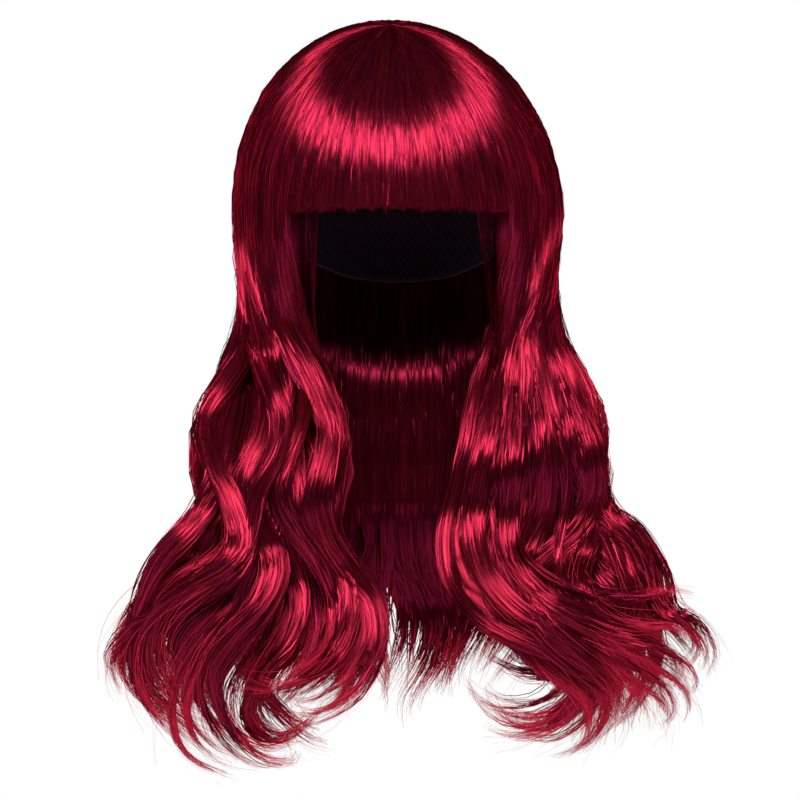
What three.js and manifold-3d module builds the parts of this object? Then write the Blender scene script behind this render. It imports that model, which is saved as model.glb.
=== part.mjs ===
// A long wavy wig with a blunt fringe: a thin net cap, the hair laid over it and the lengths that hang from it.
// Sizes are in millimetres and angles in degrees. +Z is up, the face side is -Y and +X is the wearer's left.
// The origin is the inside of the cap at the top of the head.
import * as THREE from 'three';
import { LoftGeometry } from 'three/addons/geometries/LoftGeometry.js';
import { mergeVertices } from 'three/addons/utils/BufferGeometryUtils.js';
import Module from 'manifold-3d';

const wasm = await Module();
wasm.setup();

const { degToRad, clamp, lerp, smoothstep } = THREE.MathUtils;

// Driving dimensions

// Half width, half depth and height of the head inside the cap, and of the hair's outside, from one centre.
const HEAD = new THREE.Vector3(76, 98, 105);
const HAIR = new THREE.Vector3(104, 115, 119);
const CENTRE = new THREE.Vector3(0, 0, -HEAD.z);
const CAP_WALL = 1.5;
const GAP = 0.3;
const ROUND_STEPS = 28;

// Height of the cap's rim at the front, beside the ears and at the nape, and how far its cut runs beyond the cap.
const CAP_RIM = { front: -62, ears: -112, nape: -150, beyond: 1, steps: 12 };

// The whorl is where the hair parts, forward of the top. The crown leans a little to the wearer's right.
const WHORL_TILT = 19.5;
const CROWN_LEAN = 5;

// Angles round the head, from the face: the fringe's corner, and where the lengths pass to the back.
const FRINGE_ANGLE = 41.5;
const PARTING_ANGLE = 0.8;
const BACK_ANGLE = 115;

// The hair over the cap ends level at the fringe's edge, where the lengths begin.
const EDGE_LEVEL = -110;
const FRINGE_TIP = { start: 0.05, thin_from: 0.7, thickness: 8, ragged: 1.5 };

// Locks show on the crown and fringe as soft ridges.
const CROWN_RIDGES = { count: 12, height: 1.3, steps: 48 };
const FRINGE_RIDGES = { count: 7, height: 0.7, steps: 21 };
const RIDGES_GROW = { from: 0.15, to: 0.6 };
const DOWN_STEPS = 9;

// A share of the hair's size that is inside the head all round.
const INSIDE_HEAD = 0.7;

// Below the ears the lengths leave the head's curve, and below the waist each lock curls by itself.
const LEAVE_LEVEL = -245;
const WAIST_LEVEL = -297;

// The hair above the waist hangs as one mass, thinner at its sides by the bow, with soft ridges down its outer face.
const BOW = 0.8;
const MASS = { outer_steps: 20, inner_steps: 5, steps: 8, ridges: 5, ridge_share: 0.12, overlap: 5 };
const MASS_FOOT = { below: 14, drawn_in: 0.5 };

// A lock's half width and half depth are shares of its bunch. It narrows all the way down and once more at its tip.
const LOCK = { half_width: 0.14, half_depth: 0.26, root_share: 0.3, turn_out: 0.6, sides: 7 };
const NARROWING = { share: 0.45, power: 2 };
const TIP = { share: 0.45, power: 10 };

// A lock starts inside the mass. Its slope is given at each station, and its slant carries it forward or back.
const LOCK_ROOT = -262;
const STATION = 30;
const CHEST_FALL = 90;
const CURL_DEPTH = 14;
const LOCK_STEPS = { rooted: 2, length: 18, fine: 5 };

// Sections of each bunch of hair down to its waist: distances from the middle of the face, and front and back.
const RIGHT_SECTIONS = [
  { level: -110, inner: 58, outer: 104, front: -92, back: 48 },
  { level: -165, inner: 58, outer: 106, front: -86, back: 40 },
  { level: -195, inner: 52, outer: 119, front: -82, back: 30 },
  { level: -230, inner: 40, outer: 124, front: -92, back: 18 },
  { level: -262, inner: 31, outer: 128, front: -98, back: 2 },
  { level: -297, inner: 37, outer: 120, front: -88, back: -22 },
];
const LEFT_SECTIONS = [
  { level: -110, inner: 60, outer: 103, front: -92, back: 48 },
  { level: -165, inner: 63, outer: 106, front: -86, back: 40 },
  { level: -195, inner: 60, outer: 103, front: -80, back: 28 },
  { level: -230, inner: 50, outer: 117, front: -92, back: 16 },
  { level: -262, inner: 42, outer: 130, front: -100, back: 2 },
  { level: -297, inner: 33, outer: 127, front: -88, back: -22 },
];
const BACK_SECTIONS = [
  { level: -110, inner: -92, outer: 92, front: 115, back: 70 },
  { level: -165, inner: -90, outer: 90, front: 111, back: 62 },
  { level: -195, inner: -84, outer: 84, front: 103, back: 54 },
  { level: -230, inner: -88, outer: 88, front: 113, back: 58 },
  { level: -262, inner: -93, outer: 93, front: 121, back: 62 },
  { level: -297, inner: -84, outer: 84, front: 108, back: 60 },
];

// A row for each lock. across: 0 at the bunch's inner edge, 1 at its outer one.
// layer: 0 next to the body, 1 outside. chest: how far forward the curl lies. fall: its length below the waist.
// swing: the curl's slope, outward from straight down, at each station below the waist.
const RIGHT_LOCKS = [
  { across: 0.06, layer: 0.75, chest: -88, fall: 150, swing: [-32, -10, 18, 52, 85] },
  { across: 0.22, layer: 0.75, chest: -92, fall: 140, swing: [-32, -8, 22, 55, 80] },
  { across: 0.42, layer: 0.75, chest: -96, fall: 172, swing: [-22, 12, 42, 6, -50, 40] },
  { across: 0.6, layer: 0.75, chest: -96, fall: 188, swing: [8, 44, 26, 4, -32, -80] },
  { across: 0.78, layer: 0.75, chest: -92, fall: 158, swing: [56, 48, 18, -14, -58] },
  { across: 0.95, layer: 0.72, chest: -84, fall: 132, swing: [58, 36, 28, -25, -60] },
  { across: 0.3, layer: 0.3, chest: -70, fall: 140, swing: [-22, 5, 35, 42, 30] },
  { across: 0.5, layer: 0.28, chest: -68, fall: 150, swing: [-10, 25, 35, 0, -35] },
  { across: 0.68, layer: 0.3, chest: -68, fall: 150, swing: [5, 40, 42, 5, -30] },
  { across: 0.88, layer: 0.3, chest: -64, fall: 140, swing: [30, 48, 42, 5, -40] },
];
const LEFT_LOCKS = [
  { across: 0.03, layer: 0.75, chest: -88, fall: 225, swing: [14, 56, 73, 42, -30, -82, -130, -152] },
  { across: 0.22, layer: 0.75, chest: -92, fall: 200, swing: [0, 42, 65, 52, 0, -60, -85] },
  { across: 0.42, layer: 0.75, chest: -96, fall: 180, swing: [5, 40, 62, 50, 5, -55] },
  { across: 0.62, layer: 0.75, chest: -98, fall: 170, swing: [-30, 5, 45, 48, 5, -50] },
  { across: 0.8, layer: 0.75, chest: -92, fall: 180, swing: [-42, 28, 60, 58, 45, -40] },
  { across: 0.95, layer: 0.72, chest: -84, fall: 118, swing: [60, 26, 46, 0, -40] },
  { across: 0.2, layer: 0.3, chest: -70, fall: 120, swing: [10, 40, 50, 20] },
  { across: 0.45, layer: 0.28, chest: -68, fall: 150, swing: [10, 35, 40, 0, -40] },
  { across: 0.7, layer: 0.3, chest: -68, fall: 150, swing: [20, 40, 20, -20, -40] },
  { across: 0.88, layer: 0.35, chest: -72, fall: 180, swing: [40, 30, -5, -40, -62, -85] },
];
const BACK_LOCKS = [
  { across: 0.07, layer: 0.5, chest: 88, fall: 128, swing: [-20, -10, 28, 34, -10] },
  { across: 0.21, layer: 0.5, chest: 92, fall: 136, swing: [-14, 10, 30, 0, -34] },
  { across: 0.35, layer: 0.5, chest: 96, fall: 142, swing: [-12, -16, 14, 28, -12] },
  { across: 0.5, layer: 0.5, chest: 98, fall: 146, swing: [10, 18, -10, -24, 14] },
  { across: 0.65, layer: 0.5, chest: 96, fall: 142, swing: [12, 16, -14, -28, 12] },
  { across: 0.79, layer: 0.5, chest: 92, fall: 136, swing: [14, -10, -30, 0, 34] },
  { across: 0.93, layer: 0.5, chest: 88, fall: 128, swing: [20, 10, -28, -34, 10] },
];

// Each bunch of hair: which side it hangs, the angles round the head that it grows from, and its tables.
// facing is the way that its outer layer looks below the ears.
const BUNCHES = {
  right_length: {
    side: -1, from: FRINGE_ANGLE, to: BACK_ANGLE, facing: -1, sections: RIGHT_SECTIONS, locks: RIGHT_LOCKS,
  },
  left_length: {
    side: 1, from: FRINGE_ANGLE, to: BACK_ANGLE, facing: -1, sections: LEFT_SECTIONS, locks: LEFT_LOCKS,
  },
  back_length: {
    side: 1, from: -BACK_ANGLE, to: BACK_ANGLE - 360, facing: 1, sections: BACK_SECTIONS, locks: BACK_LOCKS,
  },
};

// The depth at which the front bunches are parted from the back one.
const BACK_SPLIT = -HAIR.y * Math.cos(degToRad(BACK_ANGLE));

const RUBY = { color: 0x8c0a28, roughness: 0.38, metalness: 0 };
const NET = { color: 0x2a0710, roughness: 0.85, metalness: 0 };

// Solids

function solid(geometry) {
  const bare = new THREE.BufferGeometry();
  bare.setAttribute('position', geometry.attributes.position);
  bare.setIndex(geometry.index);
  const merged = mergeVertices(bare);
  const corners = merged.index.array;
  const triangles = [];
  for (let i = 0; i < corners.length; i += 3) {
    const [a, b, c] = corners.slice(i, i + 3);
    if (a !== b && b !== c && c !== a) triangles.push(a, b, c);
  }
  const vertProperties = merged.attributes.position.array;
  return new wasm.Manifold(new wasm.Mesh({ numProp: 3, vertProperties, triVerts: new Uint32Array(triangles) }));
}

function ellipsoid(halves) {
  const ball = new THREE.SphereGeometry(1, ROUND_STEPS, ROUND_STEPS / 2).rotateX(Math.PI / 2);
  return solid(ball.scale(halves.x, halves.y, halves.z).translate(CENTRE.x, CENTRE.y, CENTRE.z));
}

function block(low, high) {
  const size = new THREE.Vector3().subVectors(high, low);
  const middle = new THREE.Vector3().addVectors(low, high).multiplyScalar(0.5);
  return solid(new THREE.BoxGeometry(size.x, size.y, size.z).translate(middle.x, middle.y, middle.z));
}

function meshOf(name, body, finish) {
  const { vertProperties, triVerts } = body.getMesh();
  const geometry = new THREE.BufferGeometry();
  geometry.setAttribute('position', new THREE.Float32BufferAttribute(vertProperties, 3));
  geometry.setIndex(new THREE.Uint32BufferAttribute(triVerts, 1));
  geometry.computeVertexNormals();
  const mesh = new THREE.Mesh(geometry, new THREE.MeshStandardMaterial(finish));
  mesh.name = name;
  return mesh;
}

// Fills the small sealed pockets that fusing leaves between locks, by keeping only the outermost shell.
function outerShell(body) {
  return body.decompose().reduce((largest, shell) => (shell.volume() > largest.volume() ? shell : largest));
}

// The room that the cap and a small gap take under the hair.
const HEADROOM = ellipsoid(HEAD.clone().addScalar(CAP_WALL + GAP));
const REACH = 600;

// Cap

// The rim is a curve in the side view, and everything below it is cut away.
function belowRim() {
  const front = -HEAD.y - CAP_WALL - CAP_RIM.beyond;
  const rim = new THREE.SplineCurve([
    new THREE.Vector2(front, CAP_RIM.front),
    new THREE.Vector2(front / 2, (CAP_RIM.front + CAP_RIM.ears) / 2),
    new THREE.Vector2(0, CAP_RIM.ears),
    new THREE.Vector2(-front / 2, (CAP_RIM.ears + CAP_RIM.nape) / 2),
    new THREE.Vector2(-front, CAP_RIM.nape),
  ]);
  const outline = new THREE.Shape(rim.getPoints(CAP_RIM.steps));
  outline.lineTo(-front, -REACH);
  outline.lineTo(front, -REACH);
  const cutter = new THREE.ExtrudeGeometry(outline, { depth: REACH, bevelEnabled: false, steps: 1 });
  cutter.translate(0, 0, -REACH / 2);
  // The outline's first axis becomes depth, its second height, and the extrusion runs across the head.
  const turn = new THREE.Matrix4().makeBasis(
    new THREE.Vector3(0, 1, 0), new THREE.Vector3(0, 0, 1), new THREE.Vector3(1, 0, 0),
  );
  return solid(cutter.applyMatrix4(turn));
}

function capBody() {
  const outside = ellipsoid(HEAD.clone().addScalar(CAP_WALL));
  return outside.subtract(ellipsoid(HEAD)).subtract(belowRim());
}

// Hair over the cap

// A point a share of the way from the whorl down to the head's widest ring, at an angle from the face.
function crownPoint(angle, share, halves) {
  const tilt = degToRad(WHORL_TILT);
  const whorl = new THREE.Vector3(0, -Math.sin(tilt), Math.cos(tilt));
  const ring = new THREE.Vector3(Math.sin(degToRad(angle)), -Math.cos(degToRad(angle)), 0);
  const arc = whorl.angleTo(ring);
  const point = whorl.clone().multiplyScalar(Math.sin((1 - share) * arc));
  point.addScaledVector(ring, Math.sin(share * arc)).divideScalar(Math.sin(arc));
  point.multiply(halves);
  point.x -= (CROWN_LEAN * point.z) / HAIR.z;
  return point.add(CENTRE);
}

// One slice through the hair: down its outside, then back up an inner line at a share of the way out.
function crownSlice(angle, ridges, start, edge, innerShare) {
  const ridge = ridges.height * Math.cos(degToRad(angle) * ridges.count);
  const outside = [];
  const inside = [];
  for (let i = 0; i <= DOWN_STEPS; i += 1) {
    const share = lerp(start, 1, i / DOWN_STEPS);
    const grown = 1 + (ridge * smoothstep(share, RIDGES_GROW.from, RIDGES_GROW.to)) / HAIR.x;
    outside.push(crownPoint(angle, share, HAIR.clone().multiplyScalar(grown)));
    inside.push(crownPoint(angle, share, HAIR.clone().multiplyScalar(innerShare(share))));
  }
  // Below the widest ring both lines run down beside the whorl's axis, so that the slice stays flat.
  const axis = crownPoint(angle, 0, HAIR).sub(CENTRE);
  for (const line of [outside, inside]) {
    const ring = line.at(-1);
    line.push(ring.clone().addScaledVector(axis, (edge - ring.z) / axis.z));
  }
  return [...outside, ...inside.reverse()];
}

function crownBody() {
  const first = FRINGE_ANGLE + PARTING_ANGLE;
  const insideHead = () => INSIDE_HEAD;
  const slices = [];
  for (let i = 0; i <= CROWN_RIDGES.steps; i += 1) {
    const angle = lerp(first, 360 - first, i / CROWN_RIDGES.steps);
    slices.push(crownSlice(angle, CROWN_RIDGES, 0, EDGE_LEVEL, insideHead));
  }
  return solid(new LoftGeometry(slices, { capStart: true, capEnd: true })).subtract(HEADROOM);
}

function fringeBody() {
  const atEdge = 1 - FRINGE_TIP.thickness / HAIR.y;
  const thinning = (share) => lerp(INSIDE_HEAD, atEdge, smoothstep(share, FRINGE_TIP.thin_from, 1));
  const slices = [];
  for (let i = 0; i <= FRINGE_RIDGES.steps; i += 1) {
    const angle = lerp(-FRINGE_ANGLE, FRINGE_ANGLE, i / FRINGE_RIDGES.steps);
    const ragged = FRINGE_TIP.ragged * 0.5 * (1 + Math.cos(degToRad(angle) * FRINGE_RIDGES.count));
    slices.push(crownSlice(angle, FRINGE_RIDGES, FRINGE_TIP.start, EDGE_LEVEL + ragged, thinning));
  }
  return solid(new LoftGeometry(slices, { capStart: true, capEnd: true })).subtract(HEADROOM);
}

// Lengths

// A smooth curve through evenly numbered values, where position counts them from the first.
function through(values, position) {
  const last = values.length - 1;
  const row = Math.min(Math.floor(clamp(position, 0, last)), last - 1);
  const t = clamp(position, 0, last) - row;
  const before = values[Math.max(row - 1, 0)];
  const after = values[Math.min(row + 2, last)];
  const leaving = (values[row + 1] - before) / 2;
  const arriving = (after - values[row]) / 2;
  const rise = values[row + 1] - values[row];
  const square = 3 * rise - 2 * leaving - arriving;
  const cube = leaving + arriving - 2 * rise;
  return values[row] + t * (leaving + t * (square + t * cube));
}

function sectionAt(sections, level) {
  let row = 0;
  while (row < sections.length - 2 && level < sections[row + 1].level) row += 1;
  const position = row + (level - sections[row].level) / (sections[row + 1].level - sections[row].level);
  const value = (name) => through(sections.map((section) => section[name]), position);
  return { inner: value('inner'), outer: value('outer'), front: value('front'), back: value('back') };
}

// Where hair that grows at one place in a bunch has come to at a level above the waist.
function hangingPoint(bunch, across, layer, level) {
  const angle = degToRad(lerp(bunch.from, bunch.to, across));
  const halves = HEAD.clone().addScalar(CAP_WALL).lerp(HAIR, layer);
  const onHead = new THREE.Vector3(bunch.side * halves.x * Math.sin(angle), -halves.y * Math.cos(angle), level);
  const section = sectionAt(bunch.sections, level);
  const middle = (section.front + section.back) / 2;
  const bow = Math.sqrt(1 - BOW * (2 * across - 1) ** 2);
  const hanging = new THREE.Vector3(
    bunch.side * lerp(section.inner, section.outer, across),
    middle + (section.front - middle) * bow * (2 * layer - 1),
    level,
  );
  return onHead.lerp(hanging, smoothstep(-level, -EDGE_LEVEL, -LEAVE_LEVEL));
}

// The hair of a bunch from the ears to its waist. Each ring goes across its outer face and back along the inner.
function massBody(bunch) {
  const rings = [];
  for (let i = 0; i <= MASS.steps; i += 1) {
    const level = lerp(EDGE_LEVEL + MASS.overlap, WAIST_LEVEL, i / MASS.steps);
    const ridgeShare = MASS.ridge_share * smoothstep(-level, -EDGE_LEVEL, -LEAVE_LEVEL);
    const ring = [];
    for (let k = 0; k <= MASS.outer_steps; k += 1) {
      const across = k / MASS.outer_steps;
      const groove = 0.5 - 0.5 * Math.cos(2 * Math.PI * MASS.ridges * across);
      ring.push(hangingPoint(bunch, across, 1 - ridgeShare * groove, level));
    }
    for (let k = MASS.inner_steps; k >= 0; k -= 1) {
      ring.push(hangingPoint(bunch, k / MASS.inner_steps, 0, level));
    }
    rings.push(bunch.side * bunch.facing > 0 ? ring : ring.reverse());
  }
  const middle = hangingPoint(bunch, 0.5, 0.5, WAIST_LEVEL);
  middle.z -= MASS_FOOT.below;
  rings.push(rings.at(-1).map((point) => point.clone().lerp(middle, MASS_FOOT.drawn_in).setZ(middle.z)));
  return solid(new LoftGeometry(rings, { capStart: true, capEnd: true }));
}

// The middle line of a lock, rooted in the mass, with its half width and half depth at each step.
function lockLine(bunch, lock) {
  const at = (across, layer, level) => hangingPoint(bunch, across, layer, level);
  const waist = at(lock.across, lock.layer, WAIST_LEVEL);
  const root = at(lock.across, lock.layer, LOCK_ROOT);
  const width = at(0, lock.layer, WAIST_LEVEL).distanceTo(at(1, lock.layer, WAIST_LEVEL)) * LOCK.half_width;
  const depth = at(0.5, 0, WAIST_LEVEL).distanceTo(at(0.5, 1, WAIST_LEVEL)) * LOCK.half_depth;
  const steps = [];
  for (let i = 0; i <= LOCK_STEPS.rooted; i += 1) {
    const level = lerp(LOCK_ROOT, WAIST_LEVEL, i / LOCK_STEPS.rooted);
    const grown = lerp(LOCK.root_share, 1, i / LOCK_STEPS.rooted);
    const point = at(lock.across, lerp(0.5, lock.layer, grown), level);
    steps.push({ point, width: width * grown, depth: depth * grown });
  }
  const slope = Math.atan2(bunch.side * (waist.x - root.x), root.z - waist.z) / degToRad(1);
  const slopes = [slope, ...lock.swing];
  const place = waist.clone();
  const strides = Math.round(lock.fall / LOCK_STEPS.length) * LOCK_STEPS.fine;
  const stride = lock.fall / strides;
  for (let i = 1; i <= strides; i += 1) {
    const fallen = (i - 0.5) * stride;
    const heading = degToRad(through(slopes, fallen / STATION));
    place.x += bunch.side * Math.sin(heading) * stride;
    place.z -= Math.cos(heading) * stride;
    const forward = lerp(waist.y, lock.chest, smoothstep(fallen, 0, CHEST_FALL));
    const sway = CURL_DEPTH * (Math.sin(heading) - Math.sin(degToRad(slope))) * smoothstep(fallen, 0, STATION);
    place.y = forward + bunch.facing * sway;
    if (i % LOCK_STEPS.fine === 0) {
      const share = fallen / lock.fall;
      const thin = 1 - NARROWING.share * share ** NARROWING.power - TIP.share * share ** TIP.power;
      steps.push({ point: place.clone(), width: width * thin, depth: depth * thin });
    }
  }
  return steps;
}

function lockBody(bunch, lock) {
  const steps = lockLine(bunch, lock);
  const rings = steps.map((step, i) => {
    const before = steps[Math.max(i - 1, 0)].point;
    const after = steps[Math.min(i + 1, steps.length - 1)].point;
    const along = new THREE.Vector3().subVectors(after, before).normalize();
    const outward = new THREE.Vector3(bunch.side * LOCK.turn_out * (2 * lock.across - 1), bunch.facing, 0);
    outward.addScaledVector(along, -along.dot(outward)).normalize();
    const sideways = new THREE.Vector3().crossVectors(outward, along);
    return Array.from({ length: LOCK.sides }, (_, k) => {
      const turn = (2 * Math.PI * k) / LOCK.sides;
      const corner = step.point.clone().addScaledVector(sideways, step.width * Math.cos(turn));
      return corner.addScaledVector(outward, step.depth * Math.sin(turn));
    });
  });
  return solid(new LoftGeometry(rings, { capStart: true, capEnd: true }));
}

// The locks of a bunch fused to its mass, trimmed under the hair on the head and parted from the next bunch.
function bunchBody(bunch) {
  const far = new THREE.Vector3(REACH, REACH, REACH);
  const near = far.clone().negate();
  const aboveEdge = block(near.clone().setZ(EDGE_LEVEL - GAP), far);
  const beyond = bunch.facing < 0 ? block(near.clone().setY(BACK_SPLIT), far)
    : block(near, far.clone().setY(BACK_SPLIT + GAP));
  const locks = bunch.locks.map((lock) => lockBody(bunch, lock));
  const fused = locks.reduce((joined, lock) => joined.add(lock), massBody(bunch));
  return outerShell(fused.subtract(HEADROOM).subtract(aboveEdge).subtract(beyond));
}

const wig = new THREE.Group();
wig.add(meshOf('cap', capBody(), NET));
wig.add(meshOf('crown_hair', crownBody(), RUBY));
wig.add(meshOf('fringe', fringeBody(), RUBY));
for (const [name, bunch] of Object.entries(BUNCHES)) {
  wig.add(meshOf(name, bunchBody(bunch), RUBY));
}

export default wig;
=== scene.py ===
import math
from typing import NamedTuple

import bmesh
import bpy
import numpy as np
from bpy.props import FloatProperty, FloatVectorProperty, IntProperty, PointerProperty
from bpy.types import Operator, Panel, PropertyGroup
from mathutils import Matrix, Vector


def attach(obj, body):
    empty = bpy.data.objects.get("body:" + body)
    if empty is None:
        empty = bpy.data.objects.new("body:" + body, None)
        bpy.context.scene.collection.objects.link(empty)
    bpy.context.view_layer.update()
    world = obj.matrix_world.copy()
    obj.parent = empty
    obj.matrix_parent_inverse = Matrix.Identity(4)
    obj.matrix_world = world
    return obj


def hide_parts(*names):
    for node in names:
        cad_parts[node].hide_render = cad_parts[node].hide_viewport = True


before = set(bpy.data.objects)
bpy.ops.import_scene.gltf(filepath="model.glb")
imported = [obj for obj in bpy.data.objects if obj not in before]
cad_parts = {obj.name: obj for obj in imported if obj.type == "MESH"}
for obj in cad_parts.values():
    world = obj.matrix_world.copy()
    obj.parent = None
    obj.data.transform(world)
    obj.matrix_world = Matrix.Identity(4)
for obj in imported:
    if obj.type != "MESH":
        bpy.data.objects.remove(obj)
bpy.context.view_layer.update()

bl_info = {
    "name": "Long Wig",
    "version": (1, 0, 0),
    "blender": (4, 5, 0),
    "location": "3D View > Sidebar > Wig",
    "description": "Builds a long wavy wig with a blunt fringe, strand by strand",
    "category": "Object",
}

MM = 0.001

# Half width, half depth and height of the room inside the cap, and of the hair's outside, from one centre.
HEAD = np.array((76.0, 98.0, 105.0))
HAIR = np.array((104.0, 115.0, 119.0))
CENTRE = np.array((0.0, 0.0, -105.0))
CAP_WALL = 1.5
CAP_RIM = {"front": -62.0, "ears": -112.0, "nape": -150.0}

# The whorl is where the hair parts, forward of the top. The crown leans a little towards -X.
WHORL_TILT = 19.5
CROWN_LEAN = 5.0
FRINGE_ANGLE = 41.5
FRINGE_REACH = FRINGE_ANGLE + 1
BACK_ANGLE = 115.0
EDGE_LEVEL = -110.0
EDGE_ROUNDED = 60.0

# Below the waist each lock curls by itself. A lock's half sizes are shares of its bunch.
WAIST_LEVEL = -297.0
BOW = 0.8
LOCK_HALF_WIDTH = 0.14
LOCK_HALF_DEPTH = 0.26
LOCK_TURN_OUT = 0.6
LOCK_NARROWING = 0.6
LOCK_ROOT = 35.0
STATION = 30.0
CHEST_FALL = 90.0
CURL_DEPTH = 14.0

# Locks wind about their places from the depth top to the waist, and most between the depths full and fades.
# Each lock is a step in phase, in radians, from the one before it.
STRAY = {
    "across": 0.07,
    "layer": 0.07,
    "top": 150.0,
    "full": 215.0,
    "fades": 255.0,
    "wave": 115.0,
    "step": 2.4,
}
SLANT_MIDDLE = 0.4

# Tresses lie on the front of a length, are flatter than wide, and come out of it over the first part of their
# run. Each parts into wisps that end astray of each other and take the waves at different levels. Strands on
# its front take lighter tones than those round its sides and back: painted shade, so that it looks round.
TRESS_CHEST = -106.0
TRESS_EDGE = 14.0
TRESS_REACH = (-35.0, 80.0)
TRESS_SWAY = (-40.0, STATION)
TRESS_TURN_OUT = 0.4
TRESS_ACROSS = (0.02, 0.98)
TRESS_FLATNESS = 0.65
TRESS_GIRTH = {"start": 0.5, "full": 0.2, "narrows": 0.45, "narrowing": 0.65}
TRESS_RISE = 75.0
TRESS_WISPS = 4
TRESS_STRANDS_PER_MM = 8.0
TRESS_STARTS = (0.0, 0.12)
TRESS_ENDS = (0.84, 1.0, 1.0)
TRESS_ASTRAY = 6.5
TRESS_LATENESS = 8.0
TRESS_TWIST = 1.2
TRESS_SCATTER = 0.2
TRESS_SPREAD = (0.3, 1.0)
TRESS_OUTWARD = 0.5
TRESS_PAINTED_SHADE = 0.35
TRESS_RUN = 200.0
TRESS_CORE = 0.55
TRESS_CORE_SHARES = (0.04, 0.8)
TRESS_CORE_ROWS = 20
PATH_STEPS = 20


class Section(NamedTuple):
    """One level of a bunch: distances aside from the middle, and its front and back."""

    level: float
    inner: float
    outer: float
    front: float
    back: float


class Lock(NamedTuple):
    """One curl: its place in the bunch, how far forward it lies, its length and its slope at each station."""

    across: float
    layer: float
    chest: float
    fall: float
    swing: tuple


class Bunch(NamedTuple):
    """Hair that hangs together: its side, the angles it grows from, the way that it faces, and its tables.

    loyal is the share of its strands that keep to one lock.
    sunk is how far back its locks lie under its tresses.
    late and slant are how far its locks differ in where they take its waves: by turns, and from edge to edge.
    stray is how far its locks wind about, as a share of the most.
    groove is how deep the creases between its locks are.
    By the level leave it has left the dome's curve. Down to the level cling its tresses keep to its face.
    rooted is how deep in it the tresses start.
    ragged is how much later the hair of its inner face takes the waves for each millimetre higher it starts.
    """

    side: int
    start: float
    end: float
    facing: int
    loyal: float
    sunk: float
    late: float
    slant: float
    stray: float
    groove: float
    leave: float
    cling: float
    rooted: float
    ragged: float
    sections: tuple
    locks: tuple


class Tress(NamedTuple):
    """One lock that lies over a length: how far it stands off, its half width, and places that it passes.

    Each place is a distance aside and a level.
    """

    lift: float
    half_width: float
    path: tuple


# Rows of Section, Lock and Tress hold their values in the order that the classes above give.
RIGHT_BUNCH = Bunch(
    side=-1,
    start=FRINGE_ANGLE,
    end=BACK_ANGLE,
    facing=-1,
    loyal=0.75,
    sunk=10.0,
    late=34.0,
    slant=40.0,
    stray=1.0,
    groove=0.2,
    leave=-245.0,
    cling=-230.0,
    rooted=9.0,
    ragged=0.0,
    sections=(
        Section(-110, 58, 104, -92, 48),
        Section(-165, 58, 106, -86, 40),
        Section(-195, 52, 119, -82, 30),
        Section(-230, 40, 124, -92, 18),
        Section(-262, 31, 128, -98, 2),
        Section(-297, 37, 120, -88, -22),
    ),
    locks=(
        Lock(0.06, 0.75, -88, 150, (-32, -10, 18, 52, 85)),
        Lock(0.22, 0.75, -92, 140, (-32, -8, 22, 55, 80)),
        Lock(0.42, 0.75, -96, 172, (-22, 12, 42, 6, -50, 40)),
        Lock(0.6, 0.75, -96, 188, (8, 44, 26, 4, -32, -80)),
        Lock(0.78, 0.75, -92, 158, (56, 48, 18, -14, -58)),
        Lock(0.95, 0.72, -84, 132, (58, 36, 28, -25, -60)),
        Lock(0.3, 0.3, -70, 140, (-22, 5, 35, 42, 30)),
        Lock(0.5, 0.28, -68, 150, (-10, 25, 35, 0, -35)),
        Lock(0.68, 0.3, -68, 150, (5, 40, 42, 5, -30)),
        Lock(0.88, 0.3, -64, 140, (30, 48, 42, 5, -40)),
    ),
)
LEFT_BUNCH = Bunch(
    side=1,
    start=FRINGE_ANGLE,
    end=BACK_ANGLE,
    facing=-1,
    loyal=0.75,
    sunk=10.0,
    late=11.0,
    slant=-24.0,
    stray=0.35,
    groove=0.08,
    leave=-205.0,
    cling=-297.0,
    rooted=4.0,
    ragged=0.0,
    sections=(
        Section(-110, 60, 103, -92, 48),
        Section(-165, 63, 106, -86, 40),
        Section(-195, 60, 103, -80, 28),
        Section(-230, 50, 117, -92, 16),
        Section(-262, 42, 130, -100, 2),
        Section(-297, 33, 127, -88, -22),
    ),
    locks=(
        Lock(0.03, 0.75, -88, 225, (14, 56, 73, 42, -30, -82, -130, -152)),
        Lock(0.22, 0.75, -92, 200, (0, 42, 65, 52, 0, -60, -85)),
        Lock(0.42, 0.75, -96, 180, (5, 40, 62, 50, 5, -55)),
        Lock(0.62, 0.75, -98, 170, (-30, 5, 45, 48, 5, -50)),
        Lock(0.8, 0.75, -92, 180, (-42, 28, 60, 58, 45, -40)),
        Lock(0.95, 0.72, -84, 118, (60, 26, 46, 0, -40)),
        Lock(0.2, 0.3, -70, 120, (10, 40, 50, 20)),
        Lock(0.45, 0.28, -68, 150, (10, 35, 40, 0, -40)),
        Lock(0.7, 0.3, -68, 150, (20, 40, 20, -20, -40)),
        Lock(0.88, 0.35, -72, 180, (40, 30, -5, -40, -62, -85)),
    ),
)
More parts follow.
